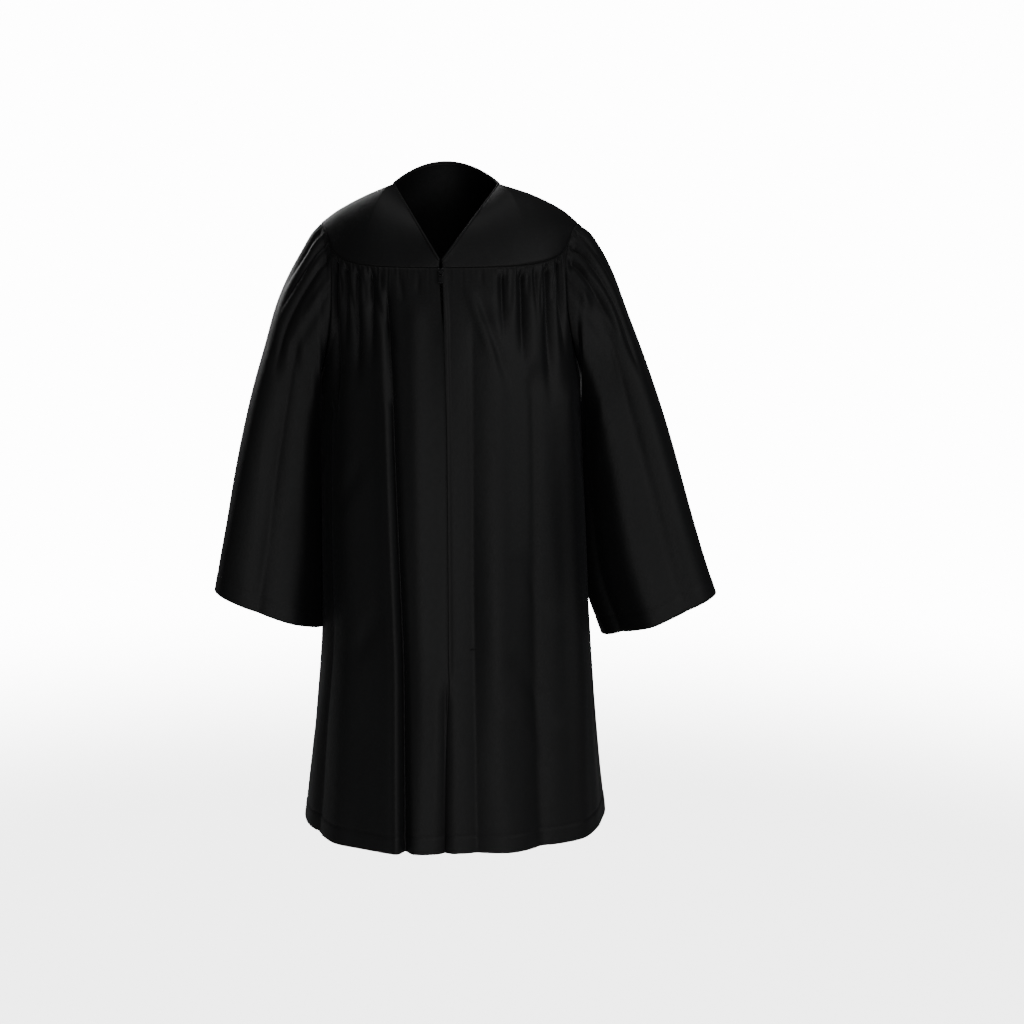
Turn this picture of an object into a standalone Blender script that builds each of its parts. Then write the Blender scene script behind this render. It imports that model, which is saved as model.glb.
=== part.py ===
"""Child's graduation gown, filled out as it is worn, with no wearer.

The tables are in millimetres and degrees, and the scene is in metres. +X is
the wearer's left, +Z is up and the front faces -Y. The origin lies between
the two sides of the neck, where the yoke rests on the shoulders.
"""

import math
from collections import namedtuple

import bmesh
import bpy
import numpy as np
from mathutils import Vector

MM = 0.001
COLLECTION = "graduation_gown"
HELPERS = "helpers"

# Cloth
WALL = 1.6
YOKE_WALL = 2.0
SEAM_GAP = 0.8
GATHER_GAP = 0.6
SQUARENESS = 0.05
HEM_HEIGHT = -737.0
SIDE_HEM_HEIGHT = -721.0

# Columns and rows of each sheet
FRONT_COLUMNS = 30
BACK_COLUMNS = 48
SKIRT_ROWS = 9
YOKE_ROWS = 6
SHOULDER_COLUMNS = 6
NECK_COLUMNS = 9
ARCH_COLUMNS = 14
SLEEVE_ROWS = 12
SLEEVE_ROW_SPREAD = 1.3

# Neck
NECK_POINT_HEIGHT = 3.0
NECK_BACK_DEPTH = 52.0
NECK_BACK_RISE = 24.0
NECK_BACK_PEAK = 1.9
V_DEPTH = 78.0
V_HEIGHT = -80.0
BINDING_RADIUS = 1.2

# Zip
ZIP_TOP = -88.0
ZIP_END = -512.0
ZIP_ROWS = 18
CHAIN_WIDTH = 2.6
CHAIN_WALL = 1.4
TAPE_WIDTH = 8.0
TAPE_WALL = 0.8
ZIP_GAP = 0.5
SLIDER_WIDTH = 6.4
SLIDER_LENGTH = 8.0
SLIDER_PLATE = 1.4
SLIDER_HEIGHT = -91.5
SLIDER_CLEARANCE = 0.8
CROWN_WIDTH = 2.0
CROWN_LENGTH = 6.6
CROWN_TOP = 4.2
CROWN_SLOT_LENGTH = 3.4
CROWN_SLOT_DEPTH = 1.7
TAB_WIDTH = 4.9
TAB_WALL = 1.0
TAB_LENGTH = 12.5
TAB_BAR = 1.0
TAB_HOLE_WIDTH = 2.7
TAB_HOLE_LENGTH = 4.3

# Half widths to each side and depths to the front and back, at each height.
Girth = namedtuple("Girth", "height right left front back")
GIRTHS = (
    Girth(-40, 134, 142, 52, 56),
    Girth(-62, 136, 144, 66, 68),
    Girth(-86, 138, 146, 78, 78),
    Girth(-130, 140, 149, 92, 87),
    Girth(-215, 139, 152, 102, 92),
    Girth(-300, 141, 155, 107, 95),
    Girth(-400, 142, 159, 111, 98),
    Girth(-500, 143.5, 165, 115, 102),
    Girth(-600, 152, 172, 119, 107),
    Girth(-680, 160, 179, 122, 111),
    Girth(HEM_HEIGHT, 167, 185, 124, 114),
)

# The edge of a front or back panel along the armhole: turn is counted from
# the middle of that panel, and 90 is the side seam.
Armhole = namedtuple("Armhole", "down height turn")
ARMHOLE = (
    Armhole(0.000, -63, 67.0),
    Armhole(0.015, -68.5, 65.6),
    Armhole(0.040, -78, 63.5),
    Armhole(0.080, -100, 61.0),
    Armhole(0.120, -128, 60.5),
    Armhole(0.160, -157, 63.0),
    Armhole(0.200, -184, 69.0),
    Armhole(0.235, -204, 78.5),
    Armhole(0.270, -216, 90.0),
)
UNDERARM = ARMHOLE[-1]
PANEL_TOP_HEIGHT = -86.0
PANEL_UNDERARM_HEIGHT = -232.0

# The line where the two fronts meet, and half the gap between their edges.
Opening = namedtuple("Opening", "height middle half_gap")
OPENING = (
    Opening(-80, -5.3, 1.5),
    Opening(-92, -5.3, 1.5),
    Opening(-120, -4.0, 1.4),
    Opening(-170, -1.0, 0.3),
    Opening(-300, 1.5, 0.25),
    Opening(-512, 2.0, 0.25),
    Opening(-545, 1.4, 0.6),
    Opening(-600, -1.5, 0.6),
    Opening(HEM_HEIGHT, -4.0, 0.6),
)

# The shoulder line, from the side of the neck to the armhole.
Shoulder = namedtuple("Shoulder", "out right left height")
SHOULDER = (
    Shoulder(0.00, 58, 61, NECK_POINT_HEIGHT),
    Shoulder(0.35, 87, 98, -9),
    Shoulder(0.72, 118, 130, -25),
    Shoulder(1.00, 139, 149, -40),
)

# Folds and gathers. turn is where the fold lies at the top and at the hem,
# width is its half width in degrees, depth is how far it stands out, and it
# shows from start to end, as fractions of the way down.
GATHER_RISE = 0.03
FOLD_RISE = 0.06
FOLD_FADE = 0.14
Fold = namedtuple("Fold", "top hem top_width hem_width top_depth hem_depth start end")
RIGHT_FRONT_FOLDS = (
    Fold(58.0, 56.0, 2.6, 5.0, -6.4, -2.0, 0.00, 0.34),
    Fold(49.5, 47.0, 2.4, 4.0, -5.9, -1.5, 0.00, 0.20),
    Fold(42.3, 40.0, 2.3, 4.0, -5.3, -2.0, 0.00, 0.27),
    Fold(34.5, 30.0, 2.6, 4.0, -5.9, -1.5, 0.00, 0.22),
    Fold(27.0, 16.2, 2.6, 1.9, -3.2, -6.0, 0.02, 1.50),
    Fold(31.0, 21.5, 4.0, 4.5, 1.6, 2.6, 0.08, 1.50),
    Fold(14.0, 11.0, 4.5, 4.0, 1.5, 1.2, 0.05, 1.50),
    Fold(50.0, 46.0, 8.0, 7.0, 1.5, 2.6, 0.20, 1.50),
    Fold(66.0, 62.0, 5.0, 5.0, -1.0, -3.0, 0.25, 1.50),
    Fold(0.0, 1.4, 2.6, 2.4, -2.5, -4.5, 0.70, 1.50),
)
LEFT_FRONT_FOLDS = (
    Fold(56.0, 54.0, 2.4, 4.0, -6.4, -1.5, 0.00, 0.22),
    Fold(47.0, 45.0, 2.6, 4.0, -6.2, -2.0, 0.00, 0.30),
    Fold(40.0, 38.0, 2.0, 4.0, -3.6, -1.0, 0.00, 0.14),
    Fold(33.3, 30.0, 2.6, 4.0, -5.9, -2.0, 0.00, 0.24),
    Fold(24.3, 22.0, 2.2, 4.0, -4.5, -1.0, 0.00, 0.18),
    Fold(20.0, 18.6, 6.0, 6.0, 2.6, 3.2, 0.07, 1.50),
    Fold(38.5, 34.0, 6.5, 6.0, -2.2, -3.0, 0.18, 1.50),
    Fold(60.0, 54.0, 6.5, 7.0, 2.2, 2.6, 0.22, 1.50),
    Fold(11.0, 10.0, 2.6, 2.8, -1.2, -2.2, 0.10, 1.50),
    Fold(0.0, -1.4, 2.6, 2.4, -2.5, -4.5, 0.70, 1.50),
)
BACK_FOLDS = (
    Fold(-59.0, -56.0, 2.8, 5.0, -6.2, -2.0, 0.00, 0.30),
    Fold(-50.0, -45.0, 2.6, 5.0, -4.2, -3.6, 0.00, 1.50),
    Fold(-41.0, -38.0, 2.6, 4.0, -5.3, -2.0, 0.00, 0.24),
    Fold(-31.5, -29.0, 2.8, 4.0, -5.9, -2.0, 0.00, 0.34),
    Fold(-22.0, -18.0, 2.8, 4.5, -3.6, -4.0, 0.00, 1.50),
    Fold(-12.0, -10.0, 2.6, 4.0, -4.2, -1.5, 0.00, 0.20),
    Fold(10.5, 8.0, 2.8, 4.5, -3.4, -3.6, 0.00, 1.50),
    Fold(20.5, 19.0, 2.6, 4.0, -5.6, -2.0, 0.00, 0.26),
    Fold(30.0, 28.0, 2.6, 4.0, -5.3, -2.0, 0.00, 0.20),
    Fold(39.5, 35.0, 2.8, 5.0, -4.4, -4.0, 0.00, 1.50),
    Fold(49.0, 47.0, 2.6, 4.0, -5.6, -2.0, 0.00, 0.28),
    Fold(58.0, 56.0, 2.8, 5.0, -6.2, -2.0, 0.00, 0.22),
    Fold(-34.0, -31.0, 6.0, 6.0, 1.5, 3.0, 0.25, 1.50),
    Fold(24.0, 21.0, 6.0, 6.0, 1.5, 3.0, 0.25, 1.50),
)

# The folded edge of the left front stands out over the zip, and falls back
# to the panel within this width.
FlyEdge = namedtuple("FlyEdge", "height width out")
FLY_EDGE = (
    FlyEdge(-86, 9.0, 0.2),
    FlyEdge(-98, 9.0, 0.4),
    FlyEdge(-118, 9.0, 2.0),
    FlyEdge(-140, 9.0, 2.2),
    FlyEdge(-180, 9.0, 1.8),
    FlyEdge(-300, 9.0, 1.2),
    FlyEdge(ZIP_END, 9.0, 1.2),
    FlyEdge(-545, 9.0, 0.0),
    FlyEdge(HEM_HEIGHT, 9.0, 0.0),
)

# Rings of a sleeve: its outer and inner edge as seen from the front, half its
# depth, how far its middle lies behind the shoulder, and how much further back
# its inner edge lies, which tucks it behind the body.
Ring = namedtuple("Ring", "down outer outer_height inner inner_height depth middle tuck")
RIGHT_SLEEVE = (
    Ring(0.00, 143, -42, 143, -222, 56, 2, 0),
    Ring(0.06, 153, -51, 148, -236, 60, 2, 6),
    Ring(0.12, 163, -68, 148, -250, 61, 1, 12),
    Ring(0.20, 178, -98, 146, -272, 60, 0, 22),
    Ring(0.29, 192, -133, 143.8, -298, 58, -1, 30),
    Ring(0.40, 205, -178, 143.8, -330, 56, -2, 32),
    Ring(0.50, 218, -224, 144, -360, 55, -3, 32),
    Ring(0.60, 230, -274, 144, -392, 54, -4, 32),
    Ring(0.70, 241, -324, 144, -423, 54, -5, 32),
    Ring(0.80, 251, -374, 144, -452, 55, -6, 32),
    Ring(0.90, 260, -419, 144, -481, 57, -7, 30),
    Ring(1.00, 266, -453, 145, -503, 60, -8, 28),
)
LEFT_SLEEVE = (
    Ring(0.00, 152, -42, 156, -222, 56, 2, 0),
    Ring(0.06, 165.5, -50, 162, -236, 60, 2, 6),
    Ring(0.12, 176.5, -66, 162, -250, 61, 1, 12),
    Ring(0.20, 191.5, -98, 161, -272, 60, 0, 22),
    Ring(0.29, 204, -133, 159.5, -298, 58, -1, 30),
    Ring(0.40, 221, -178, 158, -330, 56, -2, 32),
    Ring(0.50, 237, -224, 159.5, -360, 56, -3, 32),
    Ring(0.60, 253, -274, 161, -392, 57, -4, 32),
    Ring(0.70, 268, -324, 163, -424, 58, -5, 32),
    Ring(0.80, 283, -374, 166, -456, 60, -6, 32),
    Ring(0.90, 297, -420, 172, -488, 62, -7, 30),
    Ring(1.00, 310, -460, 181, -514, 64, -8, 28),
)
ARMHOLE_FADE = 0.30
UNDERARM_CLEARANCE = 3.2
SLEEVE_SEAM = 2.4
SHOULDER_SEAM = 1.3
COLUMN_SPREAD = 0.8

# Turn on a sleeve is 0 at the underarm, 90 at the front and 180 at the outside.
RIGHT_SLEEVE_FOLDS = (
    Fold(128, 120, 7, 12, -5.6, -1.0, 0.00, 0.42),
    Fold(144, 140, 6, 12, -5.0, -1.0, 0.00, 0.30),
    Fold(163, 160, 7, 12, -4.5, -1.0, 0.00, 0.24),
    Fold(186, 186, 7, 12, -3.9, -1.0, 0.00, 0.22),
    Fold(206, 206, 7, 12, -4.8, -1.0, 0.00, 0.30),
    Fold(226, 226, 7, 12, -5.0, -1.0, 0.00, 0.34),
    Fold(66, 62, 12, 14, 2.0, 4.0, 0.15, 1.50),
    Fold(104, 98, 11, 12, -2.0, -3.0, 0.20, 1.50),
    Fold(140, 136, 12, 14, 1.5, 3.0, 0.35, 1.50),
    Fold(262, 260, 14, 14, -2.0, -4.0, 0.25, 1.50),
)
LEFT_SLEEVE_FOLDS = (
    Fold(124, 120, 6, 12, -6.4, -1.0, 0.00, 0.30),
    Fold(140, 136, 6, 12, -5.9, -1.0, 0.00, 0.46),
    Fold(158, 156, 6, 12, -4.5, -1.0, 0.00, 0.22),
    Fold(178, 178, 7, 12, -3.6, -1.0, 0.00, 0.20),
    Fold(200, 200, 7, 12, -4.8, -1.0, 0.00, 0.28),
    Fold(222, 222, 7, 12, -5.0, -1.0, 0.00, 0.34),
    Fold(76, 80, 13, 13, 4.0, 5.5, 0.06, 1.50),
    Fold(112, 116, 12, 14, -3.0, -2.5, 0.10, 1.10),
    Fold(40, 44, 12, 12, -2.5, -3.5, 0.18, 1.50),
    Fold(266, 264, 14, 14, -2.0, -4.0, 0.25, 1.50),
)

BLACK_CLOTH = (0.0090, 0.0090, 0.0098, 1.0)
BLACK_TAPE = (0.0070, 0.0070, 0.0075, 1.0)
DARK_METAL = (0.090, 0.090, 0.095, 1.0)


def along(rows, key, column, at):
    """Read one column of a table on a smooth curve through its rows."""
    rows = sorted(rows, key=lambda row: getattr(row, key))
    keys = np.array([getattr(row, key) for row in rows], float)
    values = np.array([getattr(row, column) for row in rows], float)
    secants = np.diff(values) / np.diff(keys)
    same = secants[:-1] * secants[1:] > 0
    mean = np.zeros(len(same))
    mean[same] = 2 / (1 / secants[:-1][same] + 1 / secants[1:][same])
    slopes = np.concatenate([secants[:1], mean, secants[-1:]])
    at = np.clip(at, keys[0], keys[-1])
    i = np.clip(np.searchsorted(keys, at, side="right") - 1, 0, len(keys) - 2)
    span = keys[i + 1] - keys[i]
    f = (at - keys[i]) / span
    level = values[i] * (1 + 2 * f) * (1 - f) ** 2 + values[i + 1] * f**2 * (3 - 2 * f)
    return level + span * (slopes[i] * f * (1 - f) ** 2 - slopes[i + 1] * f**2 * (1 - f))


def ease(value, low, high):
    """Rise smoothly from 0 at low to 1 at high."""
    f = np.clip((value - low) / (high - low), 0, 1)
    return f * f * (3 - 2 * f)


def body_point(turn, height, out=0.0):
    """Point on the gown's body: turn 0 is the front, 90 the wearer's left, 180 the back."""
    angle = np.radians(turn)
    across, ahead = np.sin(angle), -np.cos(angle)
    half = np.where(
        across > 0,
        along(GIRTHS, "height", "left", height),
        along(GIRTHS, "height", "right", height),
    )
    depth = np.where(
        ahead < 0,
        along(GIRTHS, "height", "front", height),
        along(GIRTHS, "height", "back", height),
    )
    size = 1 + SQUARENESS * np.sin(2 * angle) ** 2
    slope = np.hypot(depth * across, half * ahead)
    x = half * across * size + out * depth * across / slope
    y = depth * ahead * size + out * half * ahead / slope
    return np.stack([x, y, height + 0 * x], axis=-1)


def fold_depth(folds, turn, down):
    """Sum of the folds at a place on a sheet."""
    total = 0 * turn * down
    for fold in folds:
        place = fold.top + (fold.hem - fold.top) * down
        width = fold.top_width + (fold.hem_width - fold.top_width) * down
        depth = fold.top_depth + (fold.hem_depth - fold.top_depth) * down
        rise = GATHER_RISE if fold.start == 0 else FOLD_RISE
        shown = ease(down, fold.start, fold.start + rise)
        shown = shown * (1 - ease(down, fold.end - FOLD_FADE, fold.end))
        total = total + depth * shown * np.exp(-(((turn - place) / width) ** 2))
    return total


def drawn_in(points, top=0.0, bottom=0.0, first=0.0, last=0.0):
    """Move a sheet's edges in along the cloth, for its share of each seam."""
    points = points.copy()
    for edge, inner, amount in (
        (np.s_[0], np.s_[1], top),
        (np.s_[-1], np.s_[-2], bottom),
        (np.s_[:, 0], np.s_[:, 1], first),
        (np.s_[:, -1], np.s_[:, -2], last),
    ):
        step = points[inner] - points[edge]
        step = step / np.linalg.norm(step, axis=-1, keepdims=True)
        points[edge] = points[edge] + step * amount
    return points


def panel_rows():
    """How far down each row of a panel lies, the armhole's own rows first."""
    skirt = np.linspace(UNDERARM.down, 1, SKIRT_ROWS + 1)[1:]
    return np.concatenate([[row.down for row in ARMHOLE], skirt])


def panel_edge(down):
    """Height and turn of a panel's outer edge: the armhole, then the side seam."""
    below = (down - UNDERARM.down) / (1 - UNDERARM.down)
    skirt = UNDERARM.height + (SIDE_HEM_HEIGHT - UNDERARM.height) * below
    arm = along(ARMHOLE, "down", "height", down)
    height = np.where(down > UNDERARM.down, skirt, arm)
    turn = np.where(down > UNDERARM.down, 90.0, along(ARMHOLE, "down", "turn", down))
    return height, turn


def panel_height(down, across):
    """Height on a panel, from its middle at across 0 to its outer edge at 1."""
    below = (down - UNDERARM.down) / (1 - UNDERARM.down)
    upper = PANEL_UNDERARM_HEIGHT - PANEL_TOP_HEIGHT
    lower = HEM_HEIGHT - PANEL_UNDERARM_HEIGHT
    middle = PANEL_TOP_HEIGHT + upper * np.minimum(down / UNDERARM.down, 1)
    middle = middle + lower * np.maximum(below, 0)
    edge = panel_edge(down)[0]
    return middle + (edge - middle) * np.abs(across) ** (4 - 1.5 * down)


def front_edge_turn(side, height):
    """Turn of a front's edge at the opening."""
    x = along(OPENING, "height", "middle", height)
    x = x + side * along(OPENING, "height", "half_gap", height)
    half = np.where(
        x > 0,
        along(GIRTHS, "height", "left", height),
        along(GIRTHS, "height", "right", height),
    )
    return np.degrees(np.arcsin(x / half))


def front_panel(side):
    """Points of a front, side 1 for the wearer's left, from the opening outward."""
    down = panel_rows()[:, None]
    across = np.linspace(0, 1, FRONT_COLUMNS + 1)[None, :]
    height = panel_height(down, across)
    edge_turn = panel_edge(down)[1]
    start = side * front_edge_turn(side, height[:, :1])
    turn = start + (edge_turn - start) * across
    folds = LEFT_FRONT_FOLDS if side > 0 else RIGHT_FRONT_FOLDS
    held = 1 - ease(across, 0.95, 1.0)
    out = fold_depth(folds, turn, down) * held
    if side > 0:
        out = out + fly_edge(body_point(turn, height)[..., 0], height)
    return drawn_in(
        body_point(side * turn, height, out), top=GATHER_GAP, last=SEAM_GAP / 2
    )


def fly_edge(x, height):
    """How far the folded edge of the left front stands out."""
    edge = along(OPENING, "height", "middle", height)
    width = along(FLY_EDGE, "height", "width", height)
    out = along(FLY_EDGE, "height", "out", height)
    return out * (1 - ease(x - edge, width / 3, width))


def back_panel():
    """Points of the back, from the wearer's left round to the right."""
    down = panel_rows()[:, None]
    across = np.linspace(-1, 1, BACK_COLUMNS + 1)[None, :]
    height = panel_height(down, across)
    turn = panel_edge(down)[1] * across
    held = 1 - ease(np.abs(across), 0.95, 1.0)
    out = fold_depth(BACK_FOLDS, turn, down) * held
    points = body_point(180 + turn, height, out)
    return drawn_in(points, top=GATHER_GAP, first=SEAM_GAP / 2, last=SEAM_GAP / 2)


def shoulder_points(side):
    """The shoulder seam, from the armhole to the side of the neck."""
    out = np.linspace(1, 0, SHOULDER_COLUMNS + 1)
    x = side * along(SHOULDER, "out", "left" if side > 0 else "right", out)
    height = along(SHOULDER, "out", "height", out)
    return np.stack([x, 0 * x, height], axis=-1)


def v_edge(side):
    """One edge of the V neck, from the side of the neck down to the opening."""
    f = np.linspace(0, 1, NECK_COLUMNS + 1)[1:]
    neck = shoulder_points(side)[-1]
    end = along(OPENING, "height", "middle", V_HEIGHT)
    end = end + side * along(OPENING, "height", "half_gap", V_HEIGHT)
    x = neck[0] + (end - neck[0]) * f
    y = -V_DEPTH * np.sin(np.pi / 2 * f)
    return np.stack([x, y, neck[2] + (V_HEIGHT - neck[2]) * f], axis=-1)


def neck_arch():
    """The back of the neck, from the wearer's left to the right."""
    a = np.linspace(0, np.pi, ARCH_COLUMNS + 1)
    left, right = shoulder_points(1)[-1], shoulder_points(-1)[-1]
    middle, half = (left[0] + right[0]) / 2, (left[0] - right[0]) / 2
    rise = NECK_POINT_HEIGHT + NECK_BACK_RISE * np.sin(a) ** NECK_BACK_PEAK
    return np.stack([middle + half * np.cos(a), NECK_BACK_DEPTH * np.sin(a), rise], -1)


def yoke_sheet(upper, lower, level, steep):
    """Rows between two edges, leaving the upper one near level and meeting the lower one steeply."""
    v = np.linspace(0, 1, YOKE_ROWS + 1)[:, None, None]
    step = lower - upper
    share = np.stack([0.5 + 0 * level, level, steep], axis=-1)
    bend = upper + step * share
    return (1 - v) ** 2 * upper + 2 * v * (1 - v) * bend + v**2 * lower


def front_yoke_points(side):
    """Points of a front yoke, from the armhole to the opening."""
    upper = np.concatenate([shoulder_points(side), v_edge(side)])
    across = np.linspace(1, 0, len(upper))
    down = 0 * across
    height = panel_height(down, across)
    start = side * front_edge_turn(side, PANEL_TOP_HEIGHT)
    turn = start + (ARMHOLE[0].turn - start) * across
    lower = body_point(side * turn, height)
    neck = ease(1 - across, SHOULDER_COLUMNS / len(upper), 1)
    return yoke_sheet(upper, lower, 0.85 - 0.35 * neck, 0.05 + 0.45 * neck)


def back_yoke_points():
    """Points of the back yoke, from the wearer's left to the right."""
    arch = neck_arch()
    upper = np.concatenate([shoulder_points(1)[:-1], arch, shoulder_points(-1)[-2::-1]])
    across = np.linspace(-1, 1, len(upper))
    height = panel_height(0 * across, across)
    lower = body_point(180 + ARMHOLE[0].turn * across, height)
    neck = 1 - ease(np.abs(across), 0.25, 0.75)
    return yoke_sheet(upper, lower, 0.85 - 0.10 * neck, 0.05 + 0.30 * neck)


def front_yoke(side):
    """A front yoke with its half of each seam left open."""
    half = SEAM_GAP / 2
    return drawn_in(front_yoke_points(side), top=half, bottom=half, first=half)


def back_yoke():
    """The back yoke with its half of each seam left open."""
    half = SEAM_GAP / 2
    return drawn_in(back_yoke_points(), top=half, bottom=half, first=half, last=half)


def armhole_ring(side):
    """The armhole's edge: from the underarm up the front, over the shoulder and down the back."""
    down = np.array([row.down for row in ARMHOLE])
    height, turn = panel_edge(down)
    front = body_point(side * turn, height)[::-1]
    back = body_point(180 - side * turn, height)
    front_arm = front_yoke_points(side)[::-1, 0]
    back_arm = back_yoke_points()[:, 0 if side > 0 else -1]
    return np.concatenate([front[:-1], front_arm[:-1], back_arm, back[1:]])


def sleeve_turns(ring):
    """Turn of each column of a sleeve at the armhole, from its height there."""
    top, bottom = ring[:, 2].max(), ring[:, 2].min()
    level = np.clip((2 * ring[:, 2] - top - bottom) / (top - bottom), -1, 1)
    turn = 180 - np.degrees(np.arccos(level))
    highest = int(np.argmax(ring[:, 2]))
    turn[highest:] = 360 - turn[highest:]
    return turn


def sleeve_points(side):
    """Points of a sleeve, a closed tube from the armhole to the cuff."""
    rings = LEFT_SLEEVE if side > 0 else RIGHT_SLEEVE
    folds = LEFT_SLEEVE_FOLDS if side > 0 else RIGHT_SLEEVE_FOLDS
    down = np.linspace(0, 1, SLEEVE_ROWS + 1) ** SLEEVE_ROW_SPREAD
    down = np.insert(down, 1, GATHER_RISE / 2)[:, None]
    armhole = armhole_ring(side)
    start = sleeve_turns(armhole)[None, :]
    even = np.linspace(0, 360, len(armhole))[None, :]
    turn = start + (even - start) * COLUMN_SPREAD * ease(down, 0, 1)

    def ring_points(down, turn, out):
        angle = np.radians(turn)
        inward, forward = np.cos(angle), np.sin(angle)
        size = 1 + SQUARENESS * np.sin(2 * angle) ** 2
        outer = along(rings, "down", "outer", down)
        inner = along(rings, "down", "inner", down)
        top = along(rings, "down", "outer_height", down)
        low = along(rings, "down", "inner_height", down)
        depth = along(rings, "down", "depth", down) * size + out
        half = np.hypot(outer - inner, top - low) / 2
        reach = size + out / half
        x = (outer + inner) / 2 - (outer - inner) / 2 * inward * reach
        z = (top + low) / 2 - (top - low) / 2 * inward * reach
        tuck = along(rings, "down", "tuck", down) * (1 + inward) / 2
        y = along(rings, "down", "middle", down) + tuck - depth * forward
        return np.stack([side * x, y, z], axis=-1)

    out = fold_depth(folds, turn, down)
    seam = armhole - ring_points(0 * down[:1], start, 0)[0]
    points = ring_points(down, turn, out)
    points = points + seam * (1 - ease(down, 0, ARMHOLE_FADE))[..., None]
    under = np.maximum(np.cos(np.radians(start)), 0) ** 2
    points[0, :, 0] += side * UNDERARM_CLEARANCE * under[0]
    points[1, :, 0] += side * UNDERARM_CLEARANCE / 2 * under[0]
    over = np.maximum(-np.cos(np.radians(start[0])), 0)[:, None] ** 2
    return drawn_in(points, top=SLEEVE_SEAM - (SLEEVE_SEAM - SHOULDER_SEAM) * over)


def principled(name, colour, roughness, metallic):
    """One material for one piece."""
    material = bpy.data.materials.new(name)
    material.use_nodes = True
    shader = material.node_tree.nodes["Principled BSDF"]
    shader.inputs["Base Color"].default_value = colour
    shader.inputs["Roughness"].default_value = roughness
    shader.inputs["Metallic"].default_value = metallic
    material.diffuse_color = colour
    return material


def black_cloth(piece):
    """Matt black woven polyester."""
    return principled(f"{piece}_cloth", BLACK_CLOTH, 0.62, 0.0)


def black_tape(piece):
    """Black zip tape and coil."""
    return principled(f"{piece}_tape", BLACK_TAPE, 0.55, 0.0)


def dark_metal(piece):
    """Dark coated metal of the slider and its tab."""
    return principled(f"{piece}_metal", DARK_METAL, 0.35, 0.9)


def new_collection(name):
    """A collection linked to the scene."""
    collection = bpy.data.collections.new(name)
    bpy.context.scene.collection.children.link(collection)
    return collection


def cloth(name, points, wall, material, tube=False):
    """A flat grid moved onto its points and thickened to a wall."""
    rows, columns = points.shape[:2]
    form = bmesh.new()
    bmesh.ops.create_grid(
        form, x_segments=columns - 1, y_segments=rows - 1, size=0.5
    )
    for vertex in form.verts:
        column = round((vertex.co.x + 0.5) * (columns - 1))
        row = round((0.5 - vertex.co.y) * (rows - 1))
        vertex.co = Vector(points[row, column]) * MM
    if tube:
        bmesh.ops.remove_doubles(form, verts=form.verts, dist=0.00002)
    mesh = bpy.data.meshes.new(name)
    form.to_mesh(mesh)
    form.free()
    mesh.shade_smooth()
    sheet = bpy.data.objects.new(name, mesh)
    bpy.data.collections[COLLECTION].objects.link(sheet)
    mesh.materials.append(material)
    thick = sheet.modifiers.new("Wall", "SOLIDIFY")
    thick.thickness = wall * MM
    thick.offset = 0
    return sheet


def neck_binding():
    """The rolled edge round the neck, beside the yokes' own edges."""
    path, inward = [], []
    right = front_yoke_points(-1)[:, SHOULDER_COLUMNS:]
    back = back_yoke_points()[:, SHOULDER_COLUMNS : SHOULDER_COLUMNS + ARCH_COLUMNS + 1]
    left = front_yoke_points(1)[:, SHOULDER_COLUMNS:]
    for sheet in (right[:, :0:-1], back[:, ::-1], left[:, 1:]):
        edge = sheet[0]
        along_edge = np.gradient(edge, axis=0)
        along_edge /= np.linalg.norm(along_edge, axis=1, keepdims=True)
        away = edge - sheet[1]
        away -= (away * along_edge).sum(1, keepdims=True) * along_edge
        path.append(edge)
        inward.append(away / np.linalg.norm(away, axis=1, keepdims=True))
    path, inward = np.concatenate(path), np.concatenate(inward)
    for corner in (NECK_COLUMNS, NECK_COLUMNS + ARCH_COLUMNS):
        inward[corner] = inward[corner - 1] + inward[corner + 1]
    inward = inward / np.linalg.norm(inward, axis=1, keepdims=True)
    return tube_along(
        "neck_binding",
        path + inward * (BINDING_RADIUS + SEAM_GAP / 2),
        BINDING_RADIUS,
        black_cloth("neck_binding"),
    )


def tube_along(name, path, radius, material):
    """A round tube with closed ends along a path."""
    curve = bpy.data.curves.new(name, "CURVE")
    curve.dimensions = "3D"
    curve.bevel_depth = radius * MM
    curve.bevel_resolution = 1
    curve.use_fill_caps = True
    spline = curve.splines.new("POLY")
    spline.points.add(len(path) - 1)
    for point, place in zip(spline.points, path):
        point.co = (*(place * MM), 1)
    tube = bpy.data.objects.new(name, curve)
    bpy.data.collections[COLLECTION].objects.link(tube)
    curve.materials.append(material)
    return tube


def zip_strip(name, inner, outer, wall, material):
    """A straight strip of the zip, behind the edges of the two fronts."""
    height = np.linspace(ZIP_TOP, ZIP_END, ZIP_ROWS + 1)[:, None]
    middle = along(OPENING, "height", "middle", height)
    x = middle + np.array([[inner, outer]])
    half = along(GIRTHS, "height", "right", height)
    out = -(WALL / 2 + ZIP_GAP + wall / 2)
    return cloth(name, body_point(np.degrees(x / half), height, out), wall, material)


def zip_tapes():
    """The two halves of the zip's tape."""
    near = CHAIN_WIDTH / 2 + ZIP_GAP
    far = near + TAPE_WIDTH
    zip_strip("zip_tape_left", near, far, TAPE_WALL, black_tape("zip_tape_left"))
    zip_strip("zip_tape_right", -far, -near, TAPE_WALL, black_tape("zip_tape_right"))


def zip_chain():
    """The closed chain between the two tapes."""
    half = CHAIN_WIDTH / 2
    zip_strip("zip_chain", -half, half, CHAIN_WALL, black_tape("zip_chain"))


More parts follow.
